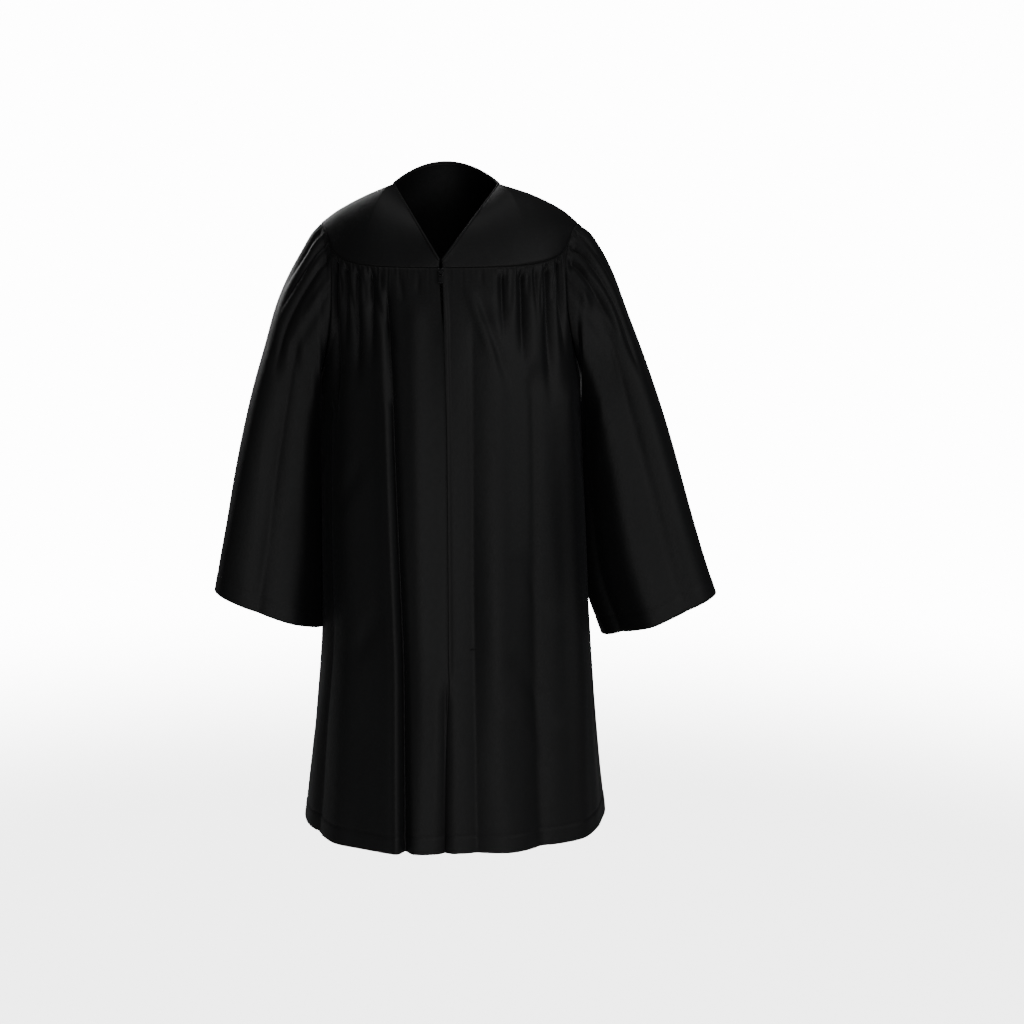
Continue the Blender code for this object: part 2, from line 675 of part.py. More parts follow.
def box(name, size, at, collection=COLLECTION, bevel=0.0):
    """A box with its size in its mesh, with rounded edges where bevel is given."""
    bpy.ops.mesh.primitive_cube_add(size=1)
    block = bpy.context.object
    block.name = name
    for vertex in block.data.vertices:
        vertex.co = Vector([size[i] * vertex.co[i] + at[i] for i in range(3)]) * MM
    for holder in list(block.users_collection):
        holder.objects.unlink(block)
    bpy.data.collections[collection].objects.link(block)
    if bevel:
        rounded = block.modifiers.new("Rounded", "BEVEL")
        rounded.width = bevel * MM
        rounded.segments = 2
    return block


def helper(name, size, at):
    """A box that is only joined to a piece or cut from it."""
    block = box(name, size, at, HELPERS)
    block.hide_render = True
    block.display_type = "WIRE"
    return block


def combine(piece, other, operation):
    """Join a helper to a piece, or cut it out."""
    change = piece.modifiers.new(other.name, "BOOLEAN")
    change.operation = operation
    change.object = other


def slider_place():
    """The middle of the slider's back, and how far the cloth there leans back."""
    low = body_point(0.0, SLIDER_HEIGHT - SLIDER_LENGTH / 2)
    high = body_point(0.0, SLIDER_HEIGHT + SLIDER_LENGTH / 2)
    lean = math.atan2(high[1] - low[1], high[2] - low[2])
    middle = along(OPENING, "height", "middle", SLIDER_HEIGHT)
    back = body_point(0.0, SLIDER_HEIGHT, WALL / 2 + SLIDER_CLEARANCE)
    return Vector((float(middle), back[1], back[2])), lean


def zip_slider():
    """The slider's front plate, with the crown that holds the tab."""
    place, lean = slider_place()
    plate = (SLIDER_WIDTH, SLIDER_PLATE, SLIDER_LENGTH)
    slider = box("zip_slider", plate, (0, -SLIDER_PLATE / 2, 0), bevel=0.45)
    rise = CROWN_TOP - SLIDER_PLATE / 2
    centre = -(CROWN_TOP + SLIDER_PLATE / 2) / 2
    crown = helper("slider_crown", (CROWN_WIDTH, rise, CROWN_LENGTH), (0, centre, 0))
    slot = helper(
        "slider_slot",
        (CROWN_WIDTH + 2, CROWN_SLOT_DEPTH, CROWN_SLOT_LENGTH),
        (0, -SLIDER_PLATE - CROWN_SLOT_DEPTH / 2, 0),
    )
    combine(slider, crown, "UNION")
    combine(slider, slot, "DIFFERENCE")
    for item in (slider, crown, slot):
        item.location = place * MM
        item.rotation_euler.x = -lean
    slider.data.materials.append(dark_metal("zip_slider"))


def zip_pull_tab():
    """The pull tab, hanging from its bar under the slider's crown."""
    place, lean = slider_place()
    tall = TAB_LENGTH + TAB_BAR
    tab = box(
        "zip_pull_tab",
        (TAB_WIDTH, TAB_WALL, tall),
        (0, 0, TAB_BAR / 2 - tall / 2),
        bevel=0.3,
    )
    hole = helper(
        "tab_hole",
        (TAB_HOLE_WIDTH, 3 * TAB_WALL, TAB_HOLE_LENGTH),
        (0, 0, -TAB_BAR / 2 - TAB_HOLE_LENGTH / 2),
    )
    combine(tab, hole, "DIFFERENCE")
    axis = SLIDER_PLATE + CROWN_SLOT_DEPTH / 2
    out = Vector((0, -math.cos(lean), math.sin(lean))) * axis
    for item in (tab, hole):
        item.location = (place + out) * MM
        item.rotation_euler.x = -lean
    tab.data.materials.append(dark_metal("zip_pull_tab"))


def main():
    """Build the gown."""
    for item in list(bpy.data.objects):
        bpy.data.objects.remove(item, do_unlink=True)
    new_collection(COLLECTION)
    new_collection(HELPERS)
    cloth("front_left", front_panel(1), WALL, black_cloth("front_left"))
    cloth("front_right", front_panel(-1), WALL, black_cloth("front_right"))
    cloth("back", back_panel(), WALL, black_cloth("back"))
    cloth("yoke_front_left", front_yoke(1), YOKE_WALL, black_cloth("yoke_front_left"))
    cloth("yoke_front_right", front_yoke(-1), YOKE_WALL, black_cloth("yoke_front_right"))
    cloth("yoke_back", back_yoke(), YOKE_WALL, black_cloth("yoke_back"))
    cloth("sleeve_left", sleeve_points(1), WALL, black_cloth("sleeve_left"), tube=True)
    cloth("sleeve_right", sleeve_points(-1), WALL, black_cloth("sleeve_right"), tube=True)
    neck_binding()
    zip_tapes()
    zip_chain()
    zip_slider()
    zip_pull_tab()


if __name__ == "__main__":
    main()
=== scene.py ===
"""Looks for the child's graduation gown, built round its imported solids.

Run it as a script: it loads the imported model, makes every sheet of cloth at
its real thickness and the zip, and sets the stage. Tables are in millimetres
and degrees, and the scene is in metres. +X is the wearer's left.
"""

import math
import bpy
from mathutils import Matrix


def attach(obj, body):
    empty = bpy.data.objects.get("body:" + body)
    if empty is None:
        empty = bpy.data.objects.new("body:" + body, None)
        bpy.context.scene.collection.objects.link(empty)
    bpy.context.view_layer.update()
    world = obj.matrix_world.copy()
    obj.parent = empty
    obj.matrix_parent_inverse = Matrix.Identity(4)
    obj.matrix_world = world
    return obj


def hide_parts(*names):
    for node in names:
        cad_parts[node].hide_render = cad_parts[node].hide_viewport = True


bl_info = {
    "name": "Graduation Gown",
    "version": (1, 0, 0),
    "blender": (4, 5, 0),
    "location": "3D View > Sidebar > Gown",
    "description": "Makes the cloth, the zip and the stage of a graduation gown",
    "category": "Object",
}

from collections import namedtuple

import bmesh
import bpy
import numpy as np
from bpy.props import FloatProperty, FloatVectorProperty, IntProperty, PointerProperty
from mathutils import Matrix, Vector

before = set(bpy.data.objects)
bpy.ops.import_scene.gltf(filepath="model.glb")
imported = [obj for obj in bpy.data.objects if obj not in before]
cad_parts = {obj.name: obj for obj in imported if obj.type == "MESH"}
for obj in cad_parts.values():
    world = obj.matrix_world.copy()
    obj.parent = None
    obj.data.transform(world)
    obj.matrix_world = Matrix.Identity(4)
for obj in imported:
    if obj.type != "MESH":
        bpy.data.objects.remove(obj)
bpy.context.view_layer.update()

MM = 0.001
BODY = "gown"

# Cloth, with the sizes of the solids that the sheets lie on
SQUARENESS = 0.05
HEM_HEIGHT = -737.0
SIDE_HEM_HEIGHT = -721.0
CAD_WALL = 1.6

# Columns of the sheets, and how many times finer a sheet is than its seams
FRONT_COLUMNS = 196
BACK_COLUMNS = 300
FINER = 8
SHOULDER_COLUMNS = 6
NECK_COLUMNS = 9
ARCH_COLUMNS = 14
YOKE_ROWS = 6
SLEEVE_FINER = 10
SLEEVE_ROWS = 126
SLEEVE_ROW_SPREAD = 1.15

# Neck
NECK_POINT_HEIGHT = 3.0
NECK_BACK_DEPTH = 52.0
NECK_BACK_RISE = 24.0
NECK_BACK_PEAK = 1.9
V_DEPTH = 78.0
V_HEIGHT = -80.0

# Zip
ZIP_TOP = -88.0
ZIP_END = -512.0
CHAIN_WIDTH = 2.6
TAPE_WIDTH = 8.0
TAPE_WALL = 0.5
ZIP_GAP = 0.5
COIL_PITCH = 1.5
COIL_LENGTH = 1.9
COIL_THICKNESS = 0.75

# Finish of the edges
FLY_OVERLAP = 1.4
TURNED_WIDTH = 2.2
TURNED_DEPTH = 0.9
TUCK = 1.0
SHEET_OUT = 0.55
YOKE_OUT = 0.2
SEAM_ALLOWANCE = 3.0
HEM_WIDTH = 20.0
HEM_TROUGH = 0.45
STITCH_PITCH = 3.0
STITCH_LENGTH = 2.3
STITCH_THICKNESS = 0.32
CLOTH_LIFT = 0.3
FLY_STITCH_OUT = 24.0
FLY_STITCH_END = -520.0
TACK_HEIGHT = -508.0
TACK_WIDTH = 11.0
TACK_PITCH = 0.55
TACK_LENGTH = 2.2
TACK_THICKNESS = 0.55
NECK_EDGE_OUT = 0.9
NECK_EDGE_RADIUS = 1.45


def rows_of(kind, rows):
    """A table's rows, with their columns named."""
    return tuple(kind(*row) for row in rows)


# Half widths to each side and depths to the front and back, at each height.
Girth = namedtuple("Girth", "height right left front back")
GIRTHS = rows_of(Girth, (
    (-40, 134, 142, 52, 56),
    (-62, 136, 144, 66, 68),
    (-86, 138, 146, 78, 78),
    (-130, 140, 149, 92, 87),
    (-215, 139, 152, 102, 92),
    (-300, 141, 155, 107, 95),
    (-400, 142, 159, 111, 98),
    (-500, 143.5, 165, 115, 102),
    (-600, 152, 172, 119, 107),
    (-680, 160, 179, 122, 111),
    (HEM_HEIGHT, 167, 185, 124, 114),
))

# The edge of a front or back panel along the armhole: turn is counted from
# the middle of that panel, and 90 is the side seam.
Armhole = namedtuple("Armhole", "down height turn")
ARMHOLE = rows_of(Armhole, (
    (0, -63, 67),
    (0.015, -68.5, 65.6),
    (0.04, -78, 63.5),
    (0.08, -100, 61),
    (0.12, -128, 60.5),
    (0.16, -157, 63),
    (0.2, -184, 69),
    (0.235, -204, 78.5),
    (0.27, -216, 90),
))
UNDERARM = ARMHOLE[-1]
PANEL_TOP_HEIGHT = -86.0
PANEL_UNDERARM_HEIGHT = -232.0

# The line where the two fronts meet, and half the gap between their edges.
Opening = namedtuple("Opening", "height middle half_gap")
OPENING = rows_of(Opening, (
    (-80, -5.3, 1.5),
    (-92, -5.3, 1.5),
    (-120, -4, 1.4),
    (-170, -1, 0.3),
    (-300, 1.5, 0.25),
    (-512, 2, 0.25),
    (-545, 1.4, 0.05),
    (-600, -1.5, 0.05),
    (HEM_HEIGHT, -4, 0.05),
))

# The shoulder line, from the side of the neck to the armhole.
Shoulder = namedtuple("Shoulder", "out right left height")
SHOULDER = rows_of(Shoulder, (
    (0, 58, 61, NECK_POINT_HEIGHT),
    (0.35, 87, 98, -9),
    (0.72, 118, 130, -25),
    (1, 139, 149, -40),
))

# Folds and gathers. turn is where the fold lies at the top and at the hem,
# width is its half width in degrees, depth is how far it stands out, and it
# shows from start to end, as fractions of the way down.
GATHER_RISE = 0.03
FOLD_RISE = 0.06
FOLD_FADE = 0.14
Fold = namedtuple("Fold", "top hem top_width hem_width top_depth hem_depth start end")
RIGHT_FRONT_FOLDS = rows_of(Fold, (
    (58, 56, 2.6, 5, -6.4, -2, 0, 0.34),
    (49.5, 47, 2.4, 4, -5.9, -1.5, 0, 0.2),
    (42.3, 40, 2.3, 4, -5.3, -2, 0, 0.27),
    (34.5, 30, 2.6, 4, -5.9, -1.5, 0, 0.22),
    (27, 16.2, 2.6, 1.9, -3.2, -6, 0.02, 1.5),
    (31, 21.5, 4, 4.5, 1.6, 2.6, 0.08, 1.5),
    (14, 11, 4.5, 4, 2.4, 2, 0.05, 1.5),
    (50, 46, 8, 7, 2.6, 4, 0.2, 1.5),
    (66, 62, 5, 5, -1, -3, 0.25, 1.5),
    (0, 1.4, 2.6, 2.4, -2.5, -4.5, 0.7, 1.5),
    (27.6, 17.3, 1.2, 0.8, -1.8, -5.5, 0.04, 1.5),
    (29.6, 19.4, 1.6, 1.4, 0.8, 2, 0.1, 1.5),
))
LEFT_FRONT_FOLDS = rows_of(Fold, (
    (56, 54, 2.4, 4, -6.4, -1.5, 0, 0.22),
    (47, 45, 2.6, 4, -6.2, -2, 0, 0.3),
    (40, 38, 2, 4, -3.6, -1, 0, 0.14),
    (33.3, 30, 2.6, 4, -5.9, -2, 0, 0.24),
    (24.3, 22, 2.2, 4, -4.5, -1, 0, 0.18),
    (20, 18.6, 6, 6, 4.2, 5, 0.07, 1.5),
    (38.5, 34, 6.5, 6, -3.6, -4.6, 0.18, 1.5),
    (60, 54, 6.5, 7, 3.6, 4.2, 0.22, 1.5),
    (11, 10, 2.6, 2.8, -1.2, -2.2, 0.1, 1.5),
    (0, -1.4, 2.6, 2.4, -2.5, -4.5, 0.7, 1.5),
))
BACK_FOLDS = rows_of(Fold, (
    (-59, -56, 2.8, 5, -6.2, -2, 0, 0.3),
    (-50, -45, 2.6, 5, -4.2, -3.6, 0, 1.5),
    (-41, -38, 2.6, 4, -5.3, -2, 0, 0.24),
    (-31.5, -29, 2.8, 4, -5.9, -2, 0, 0.34),
    (-22, -18, 2.8, 4.5, -3.6, -4, 0, 1.5),
    (-12, -10, 2.6, 4, -4.2, -1.5, 0, 0.2),
    (10.5, 8, 2.8, 4.5, -3.4, -3.6, 0, 1.5),
    (20.5, 19, 2.6, 4, -5.6, -2, 0, 0.26),
    (30, 28, 2.6, 4, -5.3, -2, 0, 0.2),
    (39.5, 35, 2.8, 5, -4.4, -4, 0, 1.5),
    (49, 47, 2.6, 4, -5.6, -2, 0, 0.28),
    (58, 56, 2.8, 5, -6.2, -2, 0, 0.22),
    (-34, -31, 6, 6, 1.5, 3, 0.25, 1.5),
    (24, 21, 6, 6, 1.5, 3, 0.25, 1.5),
))

# The folded edge of the left front stands out over the zip, and falls back
# to the panel within this width.
FlyEdge = namedtuple("FlyEdge", "height width out")
FLY_EDGE = rows_of(FlyEdge, (
    (-86, 8, 0.9),
    (-98, 8, 1.7),
    (-118, 8, 2.6),
    (-140, 7.5, 2.7),
    (-180, 5.5, 2.3),
    (-300, 4.5, 1.7),
    (ZIP_END, 4.5, 1.6),
    (-545, 4.5, 0),
    (HEM_HEIGHT, 4.5, 0),
))

# Rings of a sleeve: its outer and inner edge as seen from the front, half its
# depth, how far its middle lies behind the shoulder, and how much further back
# its inner edge lies, which tucks it behind the body.
Ring = namedtuple("Ring", "down outer outer_height inner inner_height depth middle tuck")
RIGHT_SLEEVE = rows_of(Ring, (
    (0, 143, -42, 143, -222, 56, 2, 0),
    (0.06, 153, -51, 148, -236, 60, 2, 6),
    (0.12, 163, -68, 148, -250, 61, 1, 12),
    (0.2, 178, -98, 146, -272, 60, 0, 22),
    (0.29, 192, -133, 143.8, -298, 58, -1, 30),
    (0.4, 205, -178, 143.8, -330, 56, -2, 32),
    (0.5, 218, -224, 144, -360, 55, -3, 32),
    (0.6, 230, -274, 144, -392, 54, -4, 32),
    (0.7, 241, -324, 144, -423, 54, -5, 32),
    (0.8, 251, -374, 144, -452, 55, -6, 32),
    (0.9, 260, -419, 144, -481, 57, -7, 30),
    (1, 266, -453, 145, -503, 60, -8, 28),
))
LEFT_SLEEVE = rows_of(Ring, (
    (0, 152, -42, 156, -222, 56, 2, 0),
    (0.06, 165.5, -50, 162, -236, 60, 2, 6),
    (0.12, 176.5, -66, 162, -250, 61, 1, 12),
    (0.2, 191.5, -98, 161, -272, 60, 0, 22),
    (0.29, 204, -133, 159.5, -298, 58, -1, 30),
    (0.4, 221, -178, 158, -330, 56, -2, 32),
    (0.5, 237, -224, 159.5, -360, 56, -3, 32),
    (0.6, 253, -274, 161, -392, 57, -4, 32),
    (0.7, 268, -324, 163, -424, 58, -5, 32),
    (0.8, 283, -374, 166, -456, 60, -6, 32),
    (0.9, 297, -420, 172, -488, 62, -7, 30),
    (1, 310, -460, 181, -514, 64, -8, 28),
))
ARMHOLE_FADE = 0.30
UNDERARM_CLEARANCE = 3.2
SLEEVE_CLOSER = 6.0
SLEEVE_SEAM = 2.4
SHOULDER_SEAM = 1.3
COLUMN_SPREAD = 0.8

# Turn on a sleeve is 0 at the underarm, 90 at the front and 180 at the outside.
RIGHT_SLEEVE_FOLDS = rows_of(Fold, (
    (128, 120, 7, 12, -5.6, -1, 0, 0.42),
    (144, 140, 6, 12, -5, -1, 0, 0.3),
    (163, 160, 7, 12, -4.5, -1, 0, 0.24),
    (186, 186, 7, 12, -3.9, -1, 0, 0.22),
    (206, 206, 7, 12, -4.8, -1, 0, 0.3),
    (226, 226, 7, 12, -5, -1, 0, 0.34),
    (66, 62, 12, 14, 2, 4, 0.15, 1.5),
    (104, 98, 11, 12, -2, -3, 0.2, 1.5),
    (140, 136, 12, 14, 1.5, 3, 0.35, 1.5),
    (262, 260, 14, 14, -2, -4, 0.25, 1.5),
))
LEFT_SLEEVE_FOLDS = rows_of(Fold, (
    (124, 120, 6, 12, -6.4, -1, 0, 0.3),
    (140, 136, 6, 12, -5.9, -1, 0, 0.46),
    (158, 156, 6, 12, -4.5, -1, 0, 0.22),
    (178, 178, 7, 12, -3.6, -1, 0, 0.2),
    (200, 200, 7, 12, -4.8, -1, 0, 0.28),
    (222, 222, 7, 12, -5, -1, 0, 0.34),
    (76, 80, 13, 13, 5.5, 7.5, 0.06, 1.5),
    (112, 116, 12, 14, -4.6, -4, 0.1, 1.3),
    (40, 44, 12, 12, -3.6, -5, 0.18, 1.5),
    (266, 264, 14, 14, -2, -4, 0.25, 1.5),
))

# Creases that cross a sheet: from one place to another, half width and depth.
Crease = namedtuple("Crease", "turn height end_turn end_height width depth")
RIGHT_FRONT_CREASES = rows_of(Crease, (
    (34.5, -104, 22.5, -175, 4, -2.4),
    (47, -96, 43, -150, 2.6, -1.6),
    (53.5, -92, 52, -120, 2.2, -1.8),
    (38.5, -90, 37, -128, 2.4, -1.5),
    (30, -89, 29, -112, 2.2, -1.3),
    (21, -90, 19, -124, 3, -1.2),
    (12, -90, 12.5, -116, 2.6, -0.8),
    (38, -290, 54, -360, 9, -2.2),
    (28, -455, 46, -530, 10, -2),
    (60, -240, 78, -262, 7, -2),
    (62, -275, 84, -330, 8, -1.5),
))
LEFT_FRONT_CREASES = rows_of(Crease, (
    (9, -104, 20, -190, 5.5, 2.8),
    (13.5, -112, 26, -215, 5, -2.6),
    (51.5, -92, 50, -126, 2.4, -1.7),
    (43.5, -91, 42, -140, 2.4, -1.5),
    (36.5, -90, 36, -118, 2.2, -1.4),
    (28.5, -89, 27.5, -134, 2.6, -1.4),
    (15, -88, 15.5, -108, 2.4, -0.8),
    (22, -512, 46, -600, 9, -3),
    (18, -556, 36, -630, 8, 2.2),
    (28, -400, 48, -480, 11, -2.2),
    (58, -236, 80, -258, 7, -2),
    (60, -270, 84, -322, 8, -1.6),
))
BACK_CREASES = rows_of(Crease, (
    (-55, -94, -53, -136, 2.6, -1.6),
    (-45.5, -92, -44, -150, 2.4, -1.4),
    (-36, -90, -35, -124, 2.4, -1.5),
    (-26.5, -90, -25, -144, 2.6, -1.4),
    (-17, -88, -16, -116, 2.4, -1.3),
    (-5, -88, -6, -130, 2.6, -1),
    (4.5, -88, 4, -112, 2.4, -1.2),
    (15.5, -89, 15, -138, 2.6, -1.4),
    (25, -90, 24, -118, 2.4, -1.4),
    (35, -91, 34, -148, 2.6, -1.5),
    (44.5, -92, 44, -122, 2.4, -1.4),
    (54, -94, 52, -142, 2.6, -1.6),
    (-66, -236, -82, -268, 8, -2),
    (66, -238, 82, -272, 8, -2),
    (-20, -330, -44, -390, 11, -1.2),
    (12, -450, 40, -520, 12, -1.2),
    (-30, -560, -8, -620, 11, 1.2),
))
# On a sleeve the height is how far down it is, in hundredths of its length.
RIGHT_SLEEVE_CREASES = rows_of(Crease, (
    (96, 3, 110, 30, 5, -2),
    (112, 2, 118, 18, 3, -1.6),
    (136, 1, 138, 12, 3, -1.4),
    (152, 1, 153, 9, 3, -1.4),
    (174, 1, 175, 10, 3, -1.2),
    (196, 1, 197, 12, 3, -1.4),
    (216, 1, 214, 15, 3, -1.5),
    (240, 3, 236, 26, 4.5, -1.8),
    (70, 46, 120, 60, 11, -1.6),
    (60, 66, 104, 82, 10, -1.4),
    (290, 34, 250, 52, 11, -1.8),
    (300, 60, 262, 76, 11, -1.4),
))
LEFT_SLEEVE_CREASES = rows_of(Crease, (
    (98, 2, 108, 26, 5, -2.2),
    (110, 3, 122, 20, 3, -1.8),
    (132, 1, 134, 16, 3, -1.6),
    (149, 1, 150, 10, 3, -1.4),
    (168, 1, 169, 11, 3, -1.3),
    (189, 1, 190, 10, 3, -1.4),
    (211, 1, 210, 14, 3, -1.5),
    (236, 3, 232, 26, 4.5, -1.8),
    (64, 42, 112, 55, 11, -1.4),
    (70, 70, 118, 84, 10, -1.5),
    (296, 36, 254, 50, 11, -1.8),
    (300, 62, 260, 78, 11, -1.4),
))

# Small puckers where a gathered edge is sewn: waves over the turn in degrees,
# their strength, and how far down they fade.
Pucker = namedtuple("Pucker", "wave strength shift")
PUCKERS = (
    Pucker(2.35, 0.55, 0.4),
    Pucker(3.70, 0.45, 2.1),
    Pucker(5.90, 0.25, 4.0),
)
PUCKER_REACH = 22.0
GATHERED = (16.0, 30.0)
SLEEVE_PUCKER_TURN = 0.42

# Soft waves all over the cloth, which no real gown is without.
Wave = namedtuple("Wave", "across down shift strength")
WAVES = (
    Wave(0.052, 0.0045, 0.3, 1.05),
    Wave(0.081, -0.0060, 1.9, 0.75),
    Wave(0.034, 0.0160, 3.1, 0.85),
    Wave(0.123, 0.0110, 5.0, 0.32),
    Wave(-0.060, 0.0230, 2.2, 0.45),
)
VALLEY_SHARE = 0.35
VALLEY_WIDTH = 0.36

# Soft lights of the stage: power is a share of the key light's.
CHEST, NECK = (0, 0, -0.3), (0, 0.05, -0.03)
Light = namedtuple("Light", "name power size place target")
LIGHTS = rows_of(Light, (
    ("key", 1.0, 0.8, (1.9, -1.7, 0.4), CHEST),
    ("front", 0.24, 1.2, (0.35, -2.3, 0.4), CHEST),
    ("low", 0.50, 0.8, (0.1, -1.9, -0.85), NECK),
    ("fill", 0.11, 1.6, (-2.1, -1.3, 0.1), CHEST),
    ("top", 0.55, 1.2, (0.1, -0.2, 1.7), CHEST),
    ("behind", 2.4, 1.4, (-1.2, 2.0, 0.8), CHEST),
))


def along(rows, key, column, at):
    """Read one column of a table on a smooth curve through its rows."""
    rows = sorted(rows, key=lambda row: getattr(row, key))
    keys = np.array([getattr(row, key) for row in rows], float)
    values = np.array([getattr(row, column) for row in rows], float)
    secants = np.diff(values) / np.diff(keys)
    same = secants[:-1] * secants[1:] > 0
    mean = np.zeros(len(same))
    mean[same] = 2 / (1 / secants[:-1][same] + 1 / secants[1:][same])
    slopes = np.concatenate([secants[:1], mean, secants[-1:]])
    at = np.clip(at, keys[0], keys[-1])
    i = np.clip(np.searchsorted(keys, at, side="right") - 1, 0, len(keys) - 2)
    span = keys[i + 1] - keys[i]
    f = (at - keys[i]) / span
    level = values[i] * (1 + 2 * f) * (1 - f) ** 2 + values[i + 1] * f**2 * (3 - 2 * f)
    return level + span * (slopes[i] * f * (1 - f) ** 2 - slopes[i + 1] * f**2 * (1 - f))


def ease(value, low, high):
    """Rise smoothly from 0 at low to 1 at high."""
    f = np.clip((value - low) / (high - low), 0, 1)
    return f * f * (3 - 2 * f)


def girth(choice, first, second, height):
    """One column of the girths where the choice is true, and else the other."""
    columns = (along(GIRTHS, "height", name, height) for name in (first, second))
    return np.where(choice, *columns)


def body_point(turn, height, out=0.0):
    """Point on the body: turn 0 is the front, 90 the wearer's left, 180 the back."""
    angle = np.radians(turn)
    across, ahead = np.sin(angle), -np.cos(angle)
    half = girth(across > 0, "left", "right", height)
    depth = girth(ahead < 0, "front", "back", height)
    size = 1 + SQUARENESS * np.sin(2 * angle) ** 2
    slope = np.hypot(depth * across, half * ahead)
    x = half * across * size + out * depth * across / slope
    y = depth * ahead * size + out * half * ahead / slope
    return np.stack([x, y, height + 0 * x], axis=-1)


def fold_depth(folds, turn, down):
    """Sum of the folds at a place on a sheet."""
    total = 0 * turn * down
    for fold in folds:
        place = fold.top + (fold.hem - fold.top) * down
        width = fold.top_width + (fold.hem_width - fold.top_width) * down
        depth = fold.top_depth + (fold.hem_depth - fold.top_depth) * down
        rise = GATHER_RISE if fold.start == 0 else FOLD_RISE
        shown = ease(down, fold.start, fold.start + rise)
        shown = shown * (1 - ease(down, fold.end - FOLD_FADE, fold.end))
        away = (turn - place) / width
        bottom = VALLEY_SHARE * np.exp(-((away / VALLEY_WIDTH) ** 2))
        total = total + depth * shown * (np.exp(-(away**2)) + bottom * (depth < 0))
    return total


def turned_in(points, edges, width=TURNED_WIDTH, depth=TURNED_DEPTH):
    """Roll the named edges of a sheet inwards, as a turned and sewn edge lies."""
    rows = distance_along(points, 0)
    columns = distance_along(points, 1)
    away = {
        "top": rows,
        "bottom": rows[-1] - rows,
        "first": columns,
        "last": columns[:, -1:] - columns,
    }
    normal = outward(points)
    for edge in edges:
        near = np.clip(1 - away[edge] / width, 0, 1)
        points = points - normal * (depth * near**2)[..., None]
    return points


def seam_allowance(points, length=SEAM_ALLOWANCE):
    """Points with a strip above the first row, which lies under the next piece."""
    step = points[0] - points[2]
    step = step / np.linalg.norm(step, axis=-1, keepdims=True)
    return np.concatenate([(points[0] + length * step)[None], points])


def distance_along(points, axis):
    """How far each point lies along its column (axis 0) or its row (axis 1)."""
    steps = np.linalg.norm(np.diff(points, axis=axis), axis=-1)
    start = np.zeros_like(np.take(steps, [0], axis=axis))
    return np.concatenate([start, np.cumsum(steps, axis=axis)], axis=axis)


def grid_normals(points):
    """Direction that a sheet's rows and columns give each point."""
    normal = np.cross(np.gradient(points, axis=0), np.gradient(points, axis=1))
    return normal / np.maximum(np.linalg.norm(normal, axis=-1, keepdims=True), 1e-9)


def facing(points):
    """1 where that direction is outward, or else -1."""
    middle = points.reshape(-1, 3).mean(axis=0)
    return np.sign((grid_normals(points) * (points - middle)).sum())


def outward(points):
    """Outward direction at every point of a sheet."""
    return grid_normals(points) * facing(points)


def crease_depth(creases, turn, height, turn_size):
    """Sum of the creases at a place, with turn_size millimetres to a degree."""
    total = 0 * turn * height
    for crease in creases:
        run = (crease.end_turn - crease.turn) * turn_size
        fall = crease.end_height - crease.height
        beside = (turn - crease.turn) * turn_size
        below = height - crease.height
        share = (beside * run + below * fall) / (run * run + fall * fall)
        away = np.abs(beside * fall - below * run) / math.hypot(run, fall)
        shown = np.sin(np.pi * np.clip(share, 0, 1)) ** 0.8
        total = total + crease.depth * shown * np.exp(-((away / crease.width) ** 2))
    return total


def puckers(turn, fallen):
    """Small waves beside a gathered seam, uneven in strength and reach."""
    total = 0 * turn * fallen
    for pucker in PUCKERS:
        uneven = 0.6 + 0.4 * np.sin(0.37 * pucker.wave * turn + 2 * pucker.shift)
        reach = PUCKER_REACH * (0.8 + 0.5 * np.sin(0.23 * turn + pucker.shift))
        fade = np.exp(-((fallen / reach) ** 2))
        wave = np.sin(pucker.wave * turn + pucker.shift)
        total = total + pucker.strength * uneven * wave * fade
    return total * ease(fallen, 0, 2.5)


def waves(across, down):
    """Soft uneven waves, from distances in millimetres."""
    total = 0 * across * down
    for wave in WAVES:
        phase = wave.across * across + wave.down * down + wave.shift
        total = total + wave.strength * np.sin(phase)
    return total


def hem_finish(above):
    """Trough of the hem's stitching, and the turned-up layer below it."""
    trough = -HEM_TROUGH * np.exp(-(((above - HEM_WIDTH) / 1.6) ** 2))
    return trough + 0.35 * (1 - ease(above, HEM_WIDTH - 2, HEM_WIDTH))


def panel_rows():
    """How far down each row of a panel lies: close at the gathers and at the hem."""
    gathers = np.linspace(0, 0.11, 48, endpoint=False)
    middle = np.linspace(0.11, 0.958, 84, endpoint=False)
    return np.concatenate([gathers, middle, np.linspace(0.958, 1, 17)])


def armhole_rows():
    """How far down the points of the armhole's seam lie on a panel."""
    places = [row.down for row in ARMHOLE]
    steps = np.linspace(0, len(places) - 1, (len(places) - 1) * SLEEVE_FINER + 1)
    return np.interp(steps, np.arange(len(places)), places)


def panel_edge(down):
    """Height and turn of a panel's outer edge: the armhole, then the side seam."""
    below = (down - UNDERARM.down) / (1 - UNDERARM.down)
    skirt = UNDERARM.height + (SIDE_HEM_HEIGHT - UNDERARM.height) * below
    arm = along(ARMHOLE, "down", "height", down)
    height = np.where(down > UNDERARM.down, skirt, arm)
    turn = np.where(down > UNDERARM.down, 90.0, along(ARMHOLE, "down", "turn", down))
    return height, turn


def panel_height(down, across):
    """Height on a panel, from its middle at across 0 to its outer edge at 1."""
    below = (down - UNDERARM.down) / (1 - UNDERARM.down)
    upper = PANEL_UNDERARM_HEIGHT - PANEL_TOP_HEIGHT
    lower = HEM_HEIGHT - PANEL_UNDERARM_HEIGHT
    middle = PANEL_TOP_HEIGHT + upper * np.minimum(down / UNDERARM.down, 1)
    middle = middle + lower * np.maximum(below, 0)
    edge = panel_edge(down)[0]
    return middle + (edge - middle) * np.abs(across) ** (4 - 1.5 * down)


